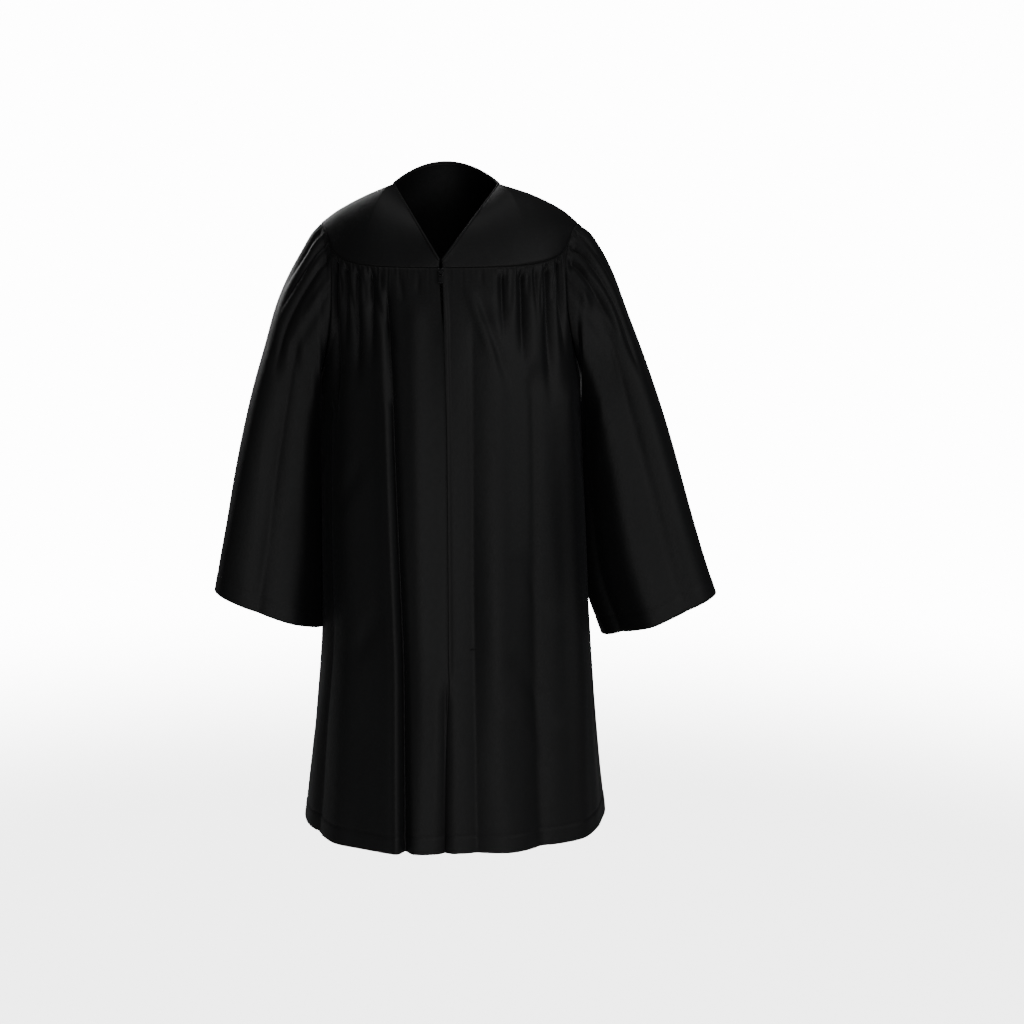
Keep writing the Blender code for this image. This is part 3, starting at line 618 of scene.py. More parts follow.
def front_edge_turn(side, height):
    """Turn of a front's edge at the opening."""
    gap = along(OPENING, "height", "half_gap", height)
    if side > 0:
        covered = ease(-height, 110, 170) * (1 - ease(-height, 512, 545))
        gap = gap - FLY_OVERLAP * covered
    x = along(OPENING, "height", "middle", height) + side * gap
    return np.degrees(np.arcsin(x / girth(x > 0, "left", "right", height)))


def fly_edge(x, height):
    """How far the folded edge of the left front stands out."""
    edge = along(OPENING, "height", "middle", height)
    width = along(FLY_EDGE, "height", "width", height)
    out = along(FLY_EDGE, "height", "out", height)
    return out * (1 - ease(x - edge, width / 3, width))


def panel_out(folds, creases, turn, down, height, base):
    """Everything that stands out of a panel or sinks into it."""
    fallen = distance_along(base, 0)
    above = fallen[-1:] - fallen
    out = fold_depth(folds, turn, down)
    out = out + crease_depth(creases, turn, height, 2.2)
    out = out + puckers(turn, fallen) * (0.25 + 0.75 * ease(np.abs(turn), *GATHERED))
    out = out + waves(base[..., 0] + base[..., 1], fallen) * ease(down, 0.03, 0.15)
    return out + hem_finish(above)


def front_panel(side):
    """Points of a front, side 1 for the wearer's left, from the opening outward."""
    down = panel_rows()[:, None]
    across = np.linspace(0, 1, FRONT_COLUMNS + 1)[None, :]
    height = panel_height(down, across)
    edge_turn = panel_edge(down)[1]
    start = side * front_edge_turn(side, height[:, :1])
    turn = start + (edge_turn - start) * across
    folds = LEFT_FRONT_FOLDS if side > 0 else RIGHT_FRONT_FOLDS
    creases = LEFT_FRONT_CREASES if side > 0 else RIGHT_FRONT_CREASES
    base = body_point(side * turn, height)
    out = panel_out(folds, creases, turn, down, height, base)
    out = out * (1 - ease(across, 0.95, 1.0))
    if side > 0:
        out = out + fly_edge(base[..., 0], height)
    points = body_point(side * turn, height, out + SHEET_OUT)
    points = turned_in(points, ("last",), depth=0.6)
    return seam_allowance(turned_in(points, ("top",), width=3.0, depth=TUCK))


def back_panel():
    """Points of the back, from the wearer's left round to the right."""
    down = panel_rows()[:, None]
    across = np.linspace(-1, 1, BACK_COLUMNS + 1)[None, :]
    height = panel_height(down, across)
    turn = panel_edge(down)[1] * across
    base = body_point(180 + turn, height)
    out = panel_out(BACK_FOLDS, BACK_CREASES, turn, down, height, base)
    out = out * (1 - ease(np.abs(across), 0.95, 1.0))
    points = body_point(180 + turn, height, out + SHEET_OUT)
    points = turned_in(points, ("first", "last"), depth=0.6)
    return seam_allowance(turned_in(points, ("top",), width=3.0, depth=TUCK))


def shoulder_points(side, finer):
    """The shoulder seam, from the armhole to the side of the neck."""
    out = np.linspace(1, 0, SHOULDER_COLUMNS * finer + 1)
    x = side * along(SHOULDER, "out", "left" if side > 0 else "right", out)
    height = along(SHOULDER, "out", "height", out)
    return np.stack([x, 0 * x, height], axis=-1)


def v_edge(side, finer):
    """One edge of the V neck, from the side of the neck down to the opening."""
    f = np.linspace(0, 1, NECK_COLUMNS * finer + 1)[1:]
    neck = shoulder_points(side, 1)[-1]
    end = along(OPENING, "height", "middle", V_HEIGHT)
    end = end + side * along(OPENING, "height", "half_gap", V_HEIGHT)
    x = neck[0] + (end - neck[0]) * f
    y = -V_DEPTH * np.sin(np.pi / 2 * f)
    return np.stack([x, y, neck[2] + (V_HEIGHT - neck[2]) * f], axis=-1)


def neck_arch(finer):
    """The back of the neck, from the wearer's left to the right."""
    a = np.linspace(0, np.pi, ARCH_COLUMNS * finer + 1)
    left, right = shoulder_points(1, 1)[-1], shoulder_points(-1, 1)[-1]
    middle, half = (left[0] + right[0]) / 2, (left[0] - right[0]) / 2
    rise = NECK_POINT_HEIGHT + NECK_BACK_RISE * np.sin(a) ** NECK_BACK_PEAK
    return np.stack([middle + half * np.cos(a), NECK_BACK_DEPTH * np.sin(a), rise], -1)


def yoke_sheet(upper, lower, level, steep, finer):
    """Rows that leave the upper edge near level and meet the lower one steeply."""
    v = np.linspace(0, 1, YOKE_ROWS * finer + 1)[:, None, None]
    step = lower - upper
    share = np.stack([0.5 + 0 * level, level, steep], axis=-1)
    bend = upper + step * share
    return (1 - v) ** 2 * upper + 2 * v * (1 - v) * bend + v**2 * lower


def front_yoke_points(side, finer):
    """Points of a front yoke, from the armhole to the opening."""
    upper = np.concatenate([shoulder_points(side, finer), v_edge(side, finer)])
    across = np.linspace(1, 0, len(upper))
    height = panel_height(0 * across, across)
    start = side * front_edge_turn(side, PANEL_TOP_HEIGHT)
    turn = start + (ARMHOLE[0].turn - start) * across
    lower = body_point(side * turn, height)
    corner = SHOULDER_COLUMNS / (SHOULDER_COLUMNS + NECK_COLUMNS + 1)
    neck = ease(1 - across, corner, 1)
    return yoke_sheet(upper, lower, 0.85 - 0.35 * neck, 0.05 + 0.45 * neck, finer)


def back_yoke_points(finer):
    """Points of the back yoke, from the wearer's left to the right."""
    left, right = shoulder_points(1, finer), shoulder_points(-1, finer)
    upper = np.concatenate([left[:-1], neck_arch(finer), right[-2::-1]])
    across = np.linspace(-1, 1, len(upper))
    height = panel_height(0 * across, across)
    lower = body_point(180 + ARMHOLE[0].turn * across, height)
    neck = 1 - ease(np.abs(across), 0.25, 0.75)
    return yoke_sheet(upper, lower, 0.85 - 0.10 * neck, 0.05 + 0.30 * neck, finer)


def soft_yoke(points):
    """A yoke's doubled cloth: nearly smooth, with its edges turned in."""
    across = distance_along(points, 1)
    down = distance_along(points, 0)
    swell = YOKE_OUT + 0.12 * waves(across, down)
    points = points + outward(points) * swell[..., None]
    edges = ("top", "bottom", "first", "last")
    return turned_in(points, edges, width=1.8, depth=0.5)


def armhole_ring(side):
    """The armhole's edge, from the underarm up the front and down the back."""
    height, turn = panel_edge(armhole_rows())
    front = body_point(side * turn, height)[::-1]
    back = body_point(180 - side * turn, height)
    front_arm = front_yoke_points(side, SLEEVE_FINER)[::-1, 0]
    back_arm = back_yoke_points(SLEEVE_FINER)[:, 0 if side > 0 else -1]
    return np.concatenate([front[:-1], front_arm[:-1], back_arm, back[1:]])


def sleeve_turns(ring):
    """Turn of each column of a sleeve at the armhole, from its height there."""
    top, bottom = ring[:, 2].max(), ring[:, 2].min()
    level = np.clip((2 * ring[:, 2] - top - bottom) / (top - bottom), -1, 1)
    turn = 180 - np.degrees(np.arccos(level))
    highest = int(np.argmax(ring[:, 2]))
    turn[highest:] = 360 - turn[highest:]
    return turn


def sleeve_ring(rings, side, down, turn, out):
    """Points on a sleeve's rings."""
    angle = np.radians(turn)
    inward, forward = np.cos(angle), np.sin(angle)
    size = 1 + SQUARENESS * np.sin(2 * angle) ** 2
    outer = along(rings, "down", "outer", down)
    closer = ease(down, 0.05, 0.14) * (1 - ease(down, 0.75, 0.95))
    inner = along(rings, "down", "inner", down) - SLEEVE_CLOSER * closer
    top = along(rings, "down", "outer_height", down)
    low = along(rings, "down", "inner_height", down)
    depth = along(rings, "down", "depth", down) * size + out
    half = np.hypot(outer - inner, top - low) / 2
    reach = size + out / half
    x = (outer + inner) / 2 - (outer - inner) / 2 * inward * reach
    z = (top + low) / 2 - (top - low) / 2 * inward * reach
    tuck = along(rings, "down", "tuck", down) * (1 + inward) / 2
    y = along(rings, "down", "middle", down) + tuck - depth * forward
    return np.stack([side * x, y, z], axis=-1)


def sleeve_points(side):
    """Points of a sleeve, a closed tube from the armhole to the cuff."""
    rings = LEFT_SLEEVE if side > 0 else RIGHT_SLEEVE
    folds = LEFT_SLEEVE_FOLDS if side > 0 else RIGHT_SLEEVE_FOLDS
    creases = LEFT_SLEEVE_CREASES if side > 0 else RIGHT_SLEEVE_CREASES
    down = np.linspace(0, 1, SLEEVE_ROWS + 1)[:, None] ** SLEEVE_ROW_SPREAD
    armhole = armhole_ring(side)
    start = sleeve_turns(armhole)[None, :]
    even = np.linspace(0, 360, len(armhole))[None, :]
    turn = start + (even - start) * COLUMN_SPREAD * ease(down, 0, 1)
    base = sleeve_ring(rings, side, down, turn, 0)
    fallen = distance_along(base, 0)
    seamless = np.sin(np.radians(turn / 2)) ** 0.5
    out = fold_depth(folds, turn, down)
    out = out + crease_depth(creases, turn, 100 * down, 0.9)
    over = np.maximum(-np.cos(np.radians(start)), 0) ** 0.5
    out = out + 1.2 * puckers(SLEEVE_PUCKER_TURN * turn, fallen) * over
    out = out + waves(1.2 * turn, fallen) * seamless * ease(down, 0.02, 0.12)
    out = out + hem_finish(fallen[-1:] - fallen)
    seam = armhole - sleeve_ring(rings, side, 0 * down[:1], start, 0)[0]
    points = sleeve_ring(rings, side, down, turn, out + SHEET_OUT)
    points = points + seam * (1 - ease(down, 0, ARMHOLE_FADE))[..., None]
    under = np.maximum(np.cos(np.radians(start)), 0) ** 2
    near = 1 - ease(down, 0, 3 * GATHER_RISE)
    points[..., 0] += side * UNDERARM_CLEARANCE * under * near
    return seam_allowance(turned_in(points, ("top",), width=4.0, depth=1.3))


def sheet_mesh(name, points):
    """A flat grid moved onto its points, with a UV map in metres along the cloth."""
    rows, columns = points.shape[:2]
    form = bmesh.new()
    bmesh.ops.create_grid(
        form, x_segments=columns - 1, y_segments=rows - 1, size=0.5
    )
    mesh = bpy.data.meshes.new(name)
    form.to_mesh(mesh)
    form.free()
    flat = np.empty(len(mesh.vertices) * 3, np.float32)
    mesh.vertices.foreach_get("co", flat)
    flat = flat.reshape(-1, 3)
    column = np.rint((flat[:, 0] + 0.5) * (columns - 1)).astype(int)
    row = np.rint((0.5 - flat[:, 1]) * (rows - 1)).astype(int)
    placed = (points[row, column] * MM).astype(np.float32)
    mesh.vertices.foreach_set("co", placed.ravel())
    corner = np.empty(len(mesh.loops), np.int32)
    mesh.loops.foreach_get("vertex_index", corner)
    beside = distance_along(points, 1)
    beside = beside - beside[:, columns // 2 : columns // 2 + 1]
    thread = np.stack([beside, distance_along(points, 0)], axis=-1) * MM
    layer = mesh.uv_layers.new(name="threads")
    layer.data.foreach_set("uv", thread[row, column][corner].astype(np.float32).ravel())
    return mesh


def add_piece(name, mesh, material, replaced=(), body=BODY):
    """Put a mesh in the scene as a piece that rides on a body."""
    piece = bpy.data.objects.new(name, mesh)
    bpy.context.scene.collection.objects.link(piece)
    mesh.materials.append(material)
    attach(piece, body)
    if replaced:
        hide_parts(*replaced)
    return piece


def cloth(name, points, wall, node, tube=False):
    """A sheet of cloth on its points, at its own thickness."""
    if not np.isfinite(points).all():
        raise ValueError(f"{name} has points that could not be worked out")
    mesh = sheet_mesh(name, points)
    form = bmesh.new()
    form.from_mesh(mesh)
    if tube:
        bmesh.ops.remove_doubles(form, verts=form.verts, dist=0.00002)
    if facing(points) < 0:
        bmesh.ops.reverse_faces(form, faces=form.faces)
    form.to_mesh(mesh)
    form.free()
    mesh.shade_smooth()
    piece = add_piece(name, mesh, black_gown_weave(), (node,))
    thick = piece.modifiers.new("Wall", "SOLIDIFY")
    thick.thickness = wall
    thick.offset = 0
    return piece


def shader_of(name):
    """A new material and its shader."""
    material = bpy.data.materials.new(name)
    material.use_nodes = True
    return material, material.node_tree.nodes["Principled BSDF"]


def node_of(material, kind, **values):
    """A node with its values set: an input by its name, or else a property."""
    node = material.node_tree.nodes.new(kind)
    for name, value in values.items():
        if name in node.inputs:
            node.inputs[name].default_value = value
        else:
            setattr(node, name, value)
    return node


def join(material, source, target):
    """Link one socket to another."""
    material.node_tree.links.new(source, target)


def mapped(material, place, scale):
    """Texture coordinates, scaled, from the UV map or from the object."""
    coordinates = node_of(material, "ShaderNodeTexCoord")
    mapping = node_of(material, "ShaderNodeMapping", Scale=scale)
    join(material, coordinates.outputs[place], mapping.inputs["Vector"])
    return mapping.outputs["Vector"]


def noise(material, place, scale, **values):
    """A noise on scaled coordinates."""
    node = node_of(material, "ShaderNodeTexNoise", Scale=1.0, **values)
    join(material, mapped(material, place, scale), node.inputs["Vector"])
    return node.outputs["Fac"]


def ribs(material, place, scale, direction, distortion):
    """Parallel ribs on scaled coordinates."""
    node = node_of(material, "ShaderNodeTexWave", Scale=1.0, Distortion=distortion)
    node.bands_direction = direction
    join(material, mapped(material, place, scale), node.inputs["Vector"])
    return node.outputs["Fac"]


def between(material, share, low, high, target):
    """Lead a number or a colour between two ends into a shader's socket."""
    if isinstance(low, tuple):
        node = node_of(material, "ShaderNodeMix", data_type="RGBA")
        node.inputs[6].default_value, node.inputs[7].default_value = low, high
        source, result = node.inputs[0], node.outputs[2]
    else:
        values = {"To Min": low, "To Max": high}
        node = node_of(material, "ShaderNodeMapRange", **values)
        source, result = node.inputs["Value"], node.outputs["Result"]
    join(material, share, source)
    join(material, result, target)


def settle(shader, values):
    """Set a shader's sockets."""
    for name, value in values.items():
        shader.inputs[name].default_value = value


def bump(material, height, strength, distance, below=None):
    """A bump from a height, on top of another bump where one is given."""
    node = node_of(material, "ShaderNodeBump", Strength=strength, Distance=distance)
    join(material, height, node.inputs["Height"])
    if below is not None:
        join(material, below, node.inputs["Normal"])
    return node.outputs["Normal"]


def weave(material, pitch):
    """Height of a plain weave: threads over and under each other."""
    turns = 2 * math.pi / pitch
    place = mapped(material, "UV", (turns / 2, turns / 2, 1))
    split = node_of(material, "ShaderNodeSeparateXYZ")
    join(material, place, split.inputs["Vector"])
    waves_made = []
    for axis in ("X", "Y"):
        wave = node_of(material, "ShaderNodeMath", operation="SINE")
        join(material, split.outputs[axis], wave.inputs[0])
        waves_made.append(wave.outputs["Value"])
    over = node_of(material, "ShaderNodeMath", operation="MULTIPLY")
    join(material, waves_made[0], over.inputs[0])
    join(material, waves_made[1], over.inputs[1])
    return over.outputs["Value"]


def made_once(make):
    """Give back the material named after a function, made on the first call."""

    def known():
        return bpy.data.materials.get(make.__name__) or make()

    return known


@made_once
def black_gown_weave():
    """Matt black woven polyester with a faint sheen."""
    sizes = bpy.context.scene.gown_cloth
    material, shader = shader_of("black_gown_weave")
    tone = noise(material, "Object", (14, 14, 9), Detail=4.0, Roughness=0.6)
    dark = (*(0.66 * value for value in sizes.colour), 1)
    between(material, tone, dark, (*sizes.colour, 1), shader.inputs["Base Color"])
    slub = noise(material, "UV", (900, 160, 1), Detail=2.0, Roughness=0.5)
    soft = noise(material, "Object", (42, 42, 20), Detail=3.0, Roughness=0.55)
    normal = bump(material, soft, 0.35, 0.0016)
    normal = bump(material, slub, 0.22, 0.00012, normal)
    threads = weave(material, sizes.thread_pitch)
    normal = bump(material, threads, 0.30, 0.00007, normal)
    join(material, normal, shader.inputs["Normal"])
    settle(shader, {
        "Roughness": 0.56,
        "Specular IOR Level": 0.38,
        "Sheen Weight": sizes.sheen,
        "Sheen Roughness": 0.40,
        "Sheen Tint": (0.75, 0.78, 0.85, 1),
    })
    return material


@made_once
def zip_tape_cloth():
    """Ribbed black tape of the zip."""
    material, shader = shader_of("zip_tape_cloth")
    rib = ribs(material, "UV", (500, 420, 1), "Y", 0.6)
    between(material, rib, 0.005, 0.012, shader.inputs["Base Color"])
    join(material, bump(material, rib, 0.6, 0.00015), shader.inputs["Normal"])
    settle(shader, {"Roughness": 0.7, "Specular IOR Level": 0.25})
    return material


@made_once
def coil_nylon():
    """Black nylon of the zip's coil."""
    material, shader = shader_of("coil_nylon")
    tone = noise(material, "Object", (700, 700, 700), Detail=2.0)
    between(material, tone, 0.006, 0.014, shader.inputs["Base Color"])
    settle(shader, {"Roughness": 0.38})
    return material


@made_once
def sewing_thread():
    """Black sewing thread, a little glossier than the cloth."""
    material, shader = shader_of("sewing_thread")
    ply = ribs(material, "Object", (2200, 2200, 2200), "DIAGONAL", 0.4)
    between(material, ply, 0.008, 0.018, shader.inputs["Base Color"])
    join(material, bump(material, ply, 0.4, 0.00005), shader.inputs["Normal"])
    settle(shader, {"Roughness": 0.45, "Specular IOR Level": 0.35})
    return material


@made_once
def zip_metal_finish():
    """Dark coated metal of the slider and its tab, with lighter worn patches placed by a
    noise.
    """
    material, shader = shader_of("zip_metal_finish")
    wear = noise(material, "Object", (420, 420, 420), Detail=5.0)
    dark, worn = (0.03, 0.03, 0.032, 1), (0.11, 0.11, 0.114, 1)
    between(material, wear, dark, worn, shader.inputs["Base Color"])
    between(material, wear, 0.22, 0.42, shader.inputs["Roughness"])
    settle(shader, {"Metallic": 1.0})
    return material


def neck_edge_path():
    """The neck's edge from the V up the right side, round the back and down the left."""
    path, inward = [], []
    corner, end = SHOULDER_COLUMNS * FINER, ARCH_COLUMNS * FINER
    right = front_yoke_points(-1, FINER)[:, corner:]
    back = back_yoke_points(FINER)[:, corner : corner + end + 1]
    left = front_yoke_points(1, FINER)[:, corner:]
    for sheet in (right[:, :0:-1], back[:, ::-1], left[:, 1:]):
        edge = sheet[0]
        tangent = np.gradient(edge, axis=0)
        tangent /= np.linalg.norm(tangent, axis=1, keepdims=True)
        away = edge - sheet[1]
        away -= (away * tangent).sum(1, keepdims=True) * tangent
        path.append(edge)
        inward.append(away / np.linalg.norm(away, axis=1, keepdims=True))
    path, inward = np.concatenate(path), np.concatenate(inward)
    weights = np.hanning(13)[1:-1]
    weights = weights / weights.sum()
    padded = np.concatenate([inward[:1].repeat(5, 0), inward, inward[-1:].repeat(5, 0)])
    inward = np.stack([np.convolve(padded[:, k], weights, "valid") for k in range(3)], -1)
    return path, inward / np.linalg.norm(inward, axis=1, keepdims=True)


def rolled_edge(path, sideways, radius, around=12):
    """Points of a rolled strip along a path, closed at both ends."""
    tangent = np.gradient(path, axis=0)
    tangent /= np.linalg.norm(tangent, axis=1, keepdims=True)
    over = np.cross(tangent, sideways)
    turn = np.linspace(0, 2 * np.pi, around + 1)[None, :, None]
    size = np.full(len(path), radius)
    size[0] = size[-1] = 0.02
    size[1] = size[-2] = 0.75 * radius
    ring = np.cos(turn) * sideways[:, None] + np.sin(turn) * over[:, None]
    return path[:, None] + ring * size[:, None, None]


def stitch(form, place, tangent, normal, length, thickness):
    """One stitch: a short rounded length of thread lying on the cloth."""
    tangent, normal = Vector(tangent).normalized(), Vector(normal).normalized()
    across = tangent.cross(normal).normalized()
    turn = Matrix((across, tangent, across.cross(tangent))).transposed()
    size = Matrix.Diagonal((thickness / 2, length / 2, thickness / 2))
    matrix = Matrix.Translation(Vector(place) * MM) @ (turn @ size * MM).to_4x4()
    matrix[3][3] = 1.0
    bmesh.ops.create_uvsphere(
        form, u_segments=6, v_segments=4, radius=1.0, matrix=matrix
    )


def read(at, run, values):
    """Three columns of values, read at places along a run."""
    return np.stack([np.interp(at, run, values[:, k]) for k in range(3)], -1)


def stitches_along(form, path, normals, pitch=STITCH_PITCH, length=STITCH_LENGTH):
    """A row of stitches along a path."""
    steps = np.linalg.norm(np.diff(path, axis=0), axis=1)
    run = np.concatenate([[0], np.cumsum(steps)])
    places = np.arange(pitch / 2, run[-1], pitch)
    at, ahead = read(places, run, path), read(places + 0.5, run, path)
    away = read(places, run, normals)
    for place, towards, normal in zip(at, ahead, away):
        if np.linalg.norm(towards - place) > 0.1:
            stitch(form, place, towards - place, normal, length, STITCH_THICKNESS)


def smooth_mesh(name, form):
    """The mesh of a finished bmesh."""
    bmesh.ops.recalc_face_normals(form, faces=form.faces)
    mesh = bpy.data.meshes.new(name)
    form.to_mesh(mesh)
    form.free()
    mesh.shade_smooth()
    return mesh


def stitch_piece(name, form):
    """Make a piece of the stitches in a bmesh."""
    return add_piece(name, smooth_mesh(name, form), sewing_thread())


def lift(points, amount):
    """Points lifted off a sheet, and the sheet's outward directions."""
    normal = outward(points)
    return points + normal * amount, normal


def row_above_hem(points, above):
    """A row of a sheet this far above its hem, on the outside, with its normals."""
    fallen = distance_along(points, 0)
    lifted, normal = lift(points, CLOTH_LIFT)
    path, away = [], []
    for column in range(points.shape[1]):
        want = fallen[-1, column] - above
        path.append(read(want, fallen[:, column], lifted[:, column]))
        away.append(read(want, fallen[:, column], normal[:, column]))
    return np.array(path), np.array(away)


class GownClothSettings(bpy.types.PropertyGroup):
    """Sizes and finish of the cloth."""

    wall: FloatProperty(
        name="Cloth thickness",
        description="Thickness of one layer of the cloth",
        default=0.00045,
        min=0.0002,
        max=0.001,
        unit="LENGTH",
    )
    yoke_wall: FloatProperty(
        name="Yoke thickness",
        description="Thickness of the yoke's two layers with the fabric between them",
        default=0.0012,
        min=0.0005,
        max=0.0018,
        unit="LENGTH",
    )
    thread_pitch: FloatProperty(
        name="Thread pitch",
        description="Distance between two threads of the weave",
        default=0.00042,
        min=0.0002,
        max=0.001,
        unit="LENGTH",
    )
    colour: FloatVectorProperty(
        name="Colour",
        description="Colour of the cloth before its sheen",
        default=(0.0085, 0.0085, 0.0092),
        subtype="COLOR",
        min=0.0,
        max=1.0,
    )
    sheen: FloatProperty(
        name="Sheen",
        description="How much the fibres catch the light at the edge of a fold",
        default=0.04,
        min=0.0,
        max=1.0,
        subtype="FACTOR",
    )


class GownZipSettings(bpy.types.PropertyGroup):
    """Sizes of the zip."""

    coil_pitch: FloatProperty(
        name="Coil pitch",
        description="Distance between two turns of the coil",
        default=COIL_PITCH * MM,
        min=0.0008,
        max=0.003,
        unit="LENGTH",
    )


class GownStageSettings(bpy.types.PropertyGroup):
    """Floor, light and camera."""

    floor_drop: FloatProperty(
        name="Floor below the neck",
        description="Height of the wearer's shoulders over the floor",
        default=1.08,
        min=0.8,
        max=2.0,
        unit="LENGTH",
    )
    camera_away: FloatProperty(
        name="Camera distance",
        description="How far the camera stands from the gown",
        default=2.3,
        min=0.5,
        max=6.0,
        unit="LENGTH",
    )
    lens: FloatProperty(
        name="Lens",
        description="Focal length for a 36 mm sensor",
        default=71.21,
        min=20.0,
        max=200.0,
        unit="CAMERA",
    )
    pitch: FloatProperty(
        name="Camera tilt",
        description="How far the camera looks down",
        default=math.radians(9.3648),
        subtype="ANGLE",
    )
    yaw: FloatProperty(
        name="Camera turn",
        description="How far the camera looks to the wearer's left",
        default=math.radians(1.8706),
        subtype="ANGLE",
    )
    key_power: FloatProperty(
        name="Key light",
        description="Power of the soft light at the front right",
        default=10.0,
        min=0.0,
        max=1000.0,
        unit="POWER",
    )
    samples_around: IntProperty(
        name="Floor corners",
        description="How many corners the round floor has",
        default=96,
        min=24,
        max=256,
    )


class GOWN_OT_fronts(bpy.types.Operator):
    """Make the two gathered fronts"""

    bl_idname = "gown.fronts"
    bl_label = "Fronts"

    def execute(self, context):
        wall = context.scene.gown_cloth.wall
        for side, name in ((1, "left"), (-1, "right")):
            front = cloth(f"gown_front_{name}", front_panel(side), wall, f"front_{name}")
        return {"FINISHED"}


class GOWN_OT_back(bpy.types.Operator):
    """Make the gathered back"""

    bl_idname = "gown.back"
    bl_label = "Back"

    def execute(self, context):
        wall = context.scene.gown_cloth.wall
        back = cloth("gown_back", back_panel(), wall, "back")
        return {"FINISHED"}


class GOWN_OT_yokes(bpy.types.Operator):
    """Make the smooth yoke of two fronts and a back"""

    bl_idname = "gown.yokes"
    bl_label = "Yokes"

    def execute(self, context):
        wall = context.scene.gown_cloth.yoke_wall
        for side, name in ((1, "left"), (-1, "right")):
            points = soft_yoke(front_yoke_points(side, FINER))
            yoke = cloth(f"gown_yoke_front_{name}", points, wall, f"yoke_front_{name}")
        points = soft_yoke(back_yoke_points(FINER))
        yoke = cloth("gown_yoke_back", points, wall, "yoke_back")
        return {"FINISHED"}


class GOWN_OT_sleeves(bpy.types.Operator):
    """Make the two bell sleeves, gathered into the armholes"""

    bl_idname = "gown.sleeves"
    bl_label = "Sleeves"

    def execute(self, context):
        wall = context.scene.gown_cloth.wall
        for side, name in ((1, "left"), (-1, "right")):
            points, node = sleeve_points(side), f"sleeve_{name}"
            sleeve = cloth(f"gown_{node}", points, wall, node, tube=True)
        return {"FINISHED"}


class GOWN_OT_neck_edge(bpy.types.Operator):
    """Make the rolled edge round the neck"""

    bl_idname = "gown.neck_edge"
    bl_label = "Neck edge"

    def execute(self, context):
        path, inward = neck_edge_path()
        points = rolled_edge(path + inward * NECK_EDGE_OUT, inward, NECK_EDGE_RADIUS)
        mesh = sheet_mesh("gown_neck_edge", points)
        form = bmesh.new()
        form.from_mesh(mesh)
        bmesh.ops.remove_doubles(form, verts=form.verts, dist=0.00004)
        bmesh.ops.holes_fill(form, edges=[e for e in form.edges if e.is_boundary])
        bmesh.ops.recalc_face_normals(form, faces=form.faces)
        form.to_mesh(mesh)
        form.free()
        mesh.shade_smooth()
        material = black_gown_weave()
        add_piece("gown_neck_edge", mesh, material, ("neck_binding",))
        return {"FINISHED"}


def zip_line(height, across, out):
    """Points beside the middle of the zip, this far outside the body's form."""
    middle = along(OPENING, "height", "middle", height)
    half = along(GIRTHS, "height", "right", height)
    return body_point(np.degrees((middle + across) / half), height, out)


class GOWN_OT_zip(bpy.types.Operator):
    """Make the zip's tapes and its coil behind the two front edges"""

    bl_idname = "gown.zip"
    bl_label = "Zip"

    def execute(self, context):
        near = CHAIN_WIDTH / 2 + ZIP_GAP
        behind = -(CAD_WALL / 2 + ZIP_GAP + TAPE_WALL)
        height = np.linspace(ZIP_TOP, ZIP_END, 160)[:, None]
        for side, name in ((1, "left"), (-1, "right")):
            across = side * np.linspace(near - 0.7, near + TAPE_WIDTH, 9)[None, :]
            mesh = sheet_mesh(f"gown_zip_tape_{name}", zip_line(height, across, behind))
            mesh.shade_smooth()
            node = f"zip_tape_{name}"
            tape = add_piece(f"gown_{node}", mesh, zip_tape_cloth(), (node,))
            thick = tape.modifiers.new("Wall", "SOLIDIFY")
            thick.thickness = TAPE_WALL * MM
            thick.offset = 0
        form = bmesh.new()
        pitch = context.scene.gown_zip.coil_pitch / MM
        places = np.arange(ZIP_TOP - 1, ZIP_END + 1, -pitch)
        for number, at in enumerate(places):
            side = 1 if number % 2 else -1
            inner = zip_line(at, -0.35 * side, behind + 0.45)
            outer = zip_line(at - 0.25, CHAIN_WIDTH / 2 * side, behind + 0.45)
            middle, run = (inner + outer) / 2, outer - inner
            stitch(form, middle, run, (0, -1, 0), COIL_LENGTH, COIL_THICKNESS)
        for side in (1, -1):
            core = zip_line(height[:, 0], 0.95 * side, behind + 0.35)
            stitches_along(form, core, np.tile([0, -1.0, 0], (len(core), 1)), 4.0, 4.6)
        mesh = smooth_mesh("gown_zip_coil", form)
        add_piece("gown_zip_coil", mesh, coil_nylon(), ("zip_chain",))
        return {"FINISHED"}


class GOWN_OT_slider(bpy.types.Operator):
    """Finish the zip's slider and its pull tab"""

    bl_idname = "gown.slider"
    bl_label = "Slider and tab"

    def execute(self, context):
        for name in ("zip_slider", "zip_pull_tab"):
            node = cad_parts[name]
            node.data.materials.clear()
            node.data.materials.append(zip_metal_finish())
        return {"FINISHED"}


def fly_stitch_path():
    """The fly's stitching on the left front: down beside the zip and across."""
    points = front_panel(1)
    lifted, normal = lift(points, CLOTH_LIFT)
    across = points[..., 0] - points[:, :1, 0]
    path, away = [], []
    for row in range(points.shape[0]):
        if not FLY_STITCH_END < points[row, 0, 2] < PANEL_TOP_HEIGHT - 3:
            continue
        path.append(read(FLY_STITCH_OUT, across[row], lifted[row]))
        away.append(read(FLY_STITCH_OUT, across[row], normal[row]))
        last = row
    for out in np.linspace(FLY_STITCH_OUT - 2, 2, 12):
        path.append(read(out, across[last], lifted[last]))
        away.append(read(out, across[last], normal[last]))
    return np.array(path), np.array(away)


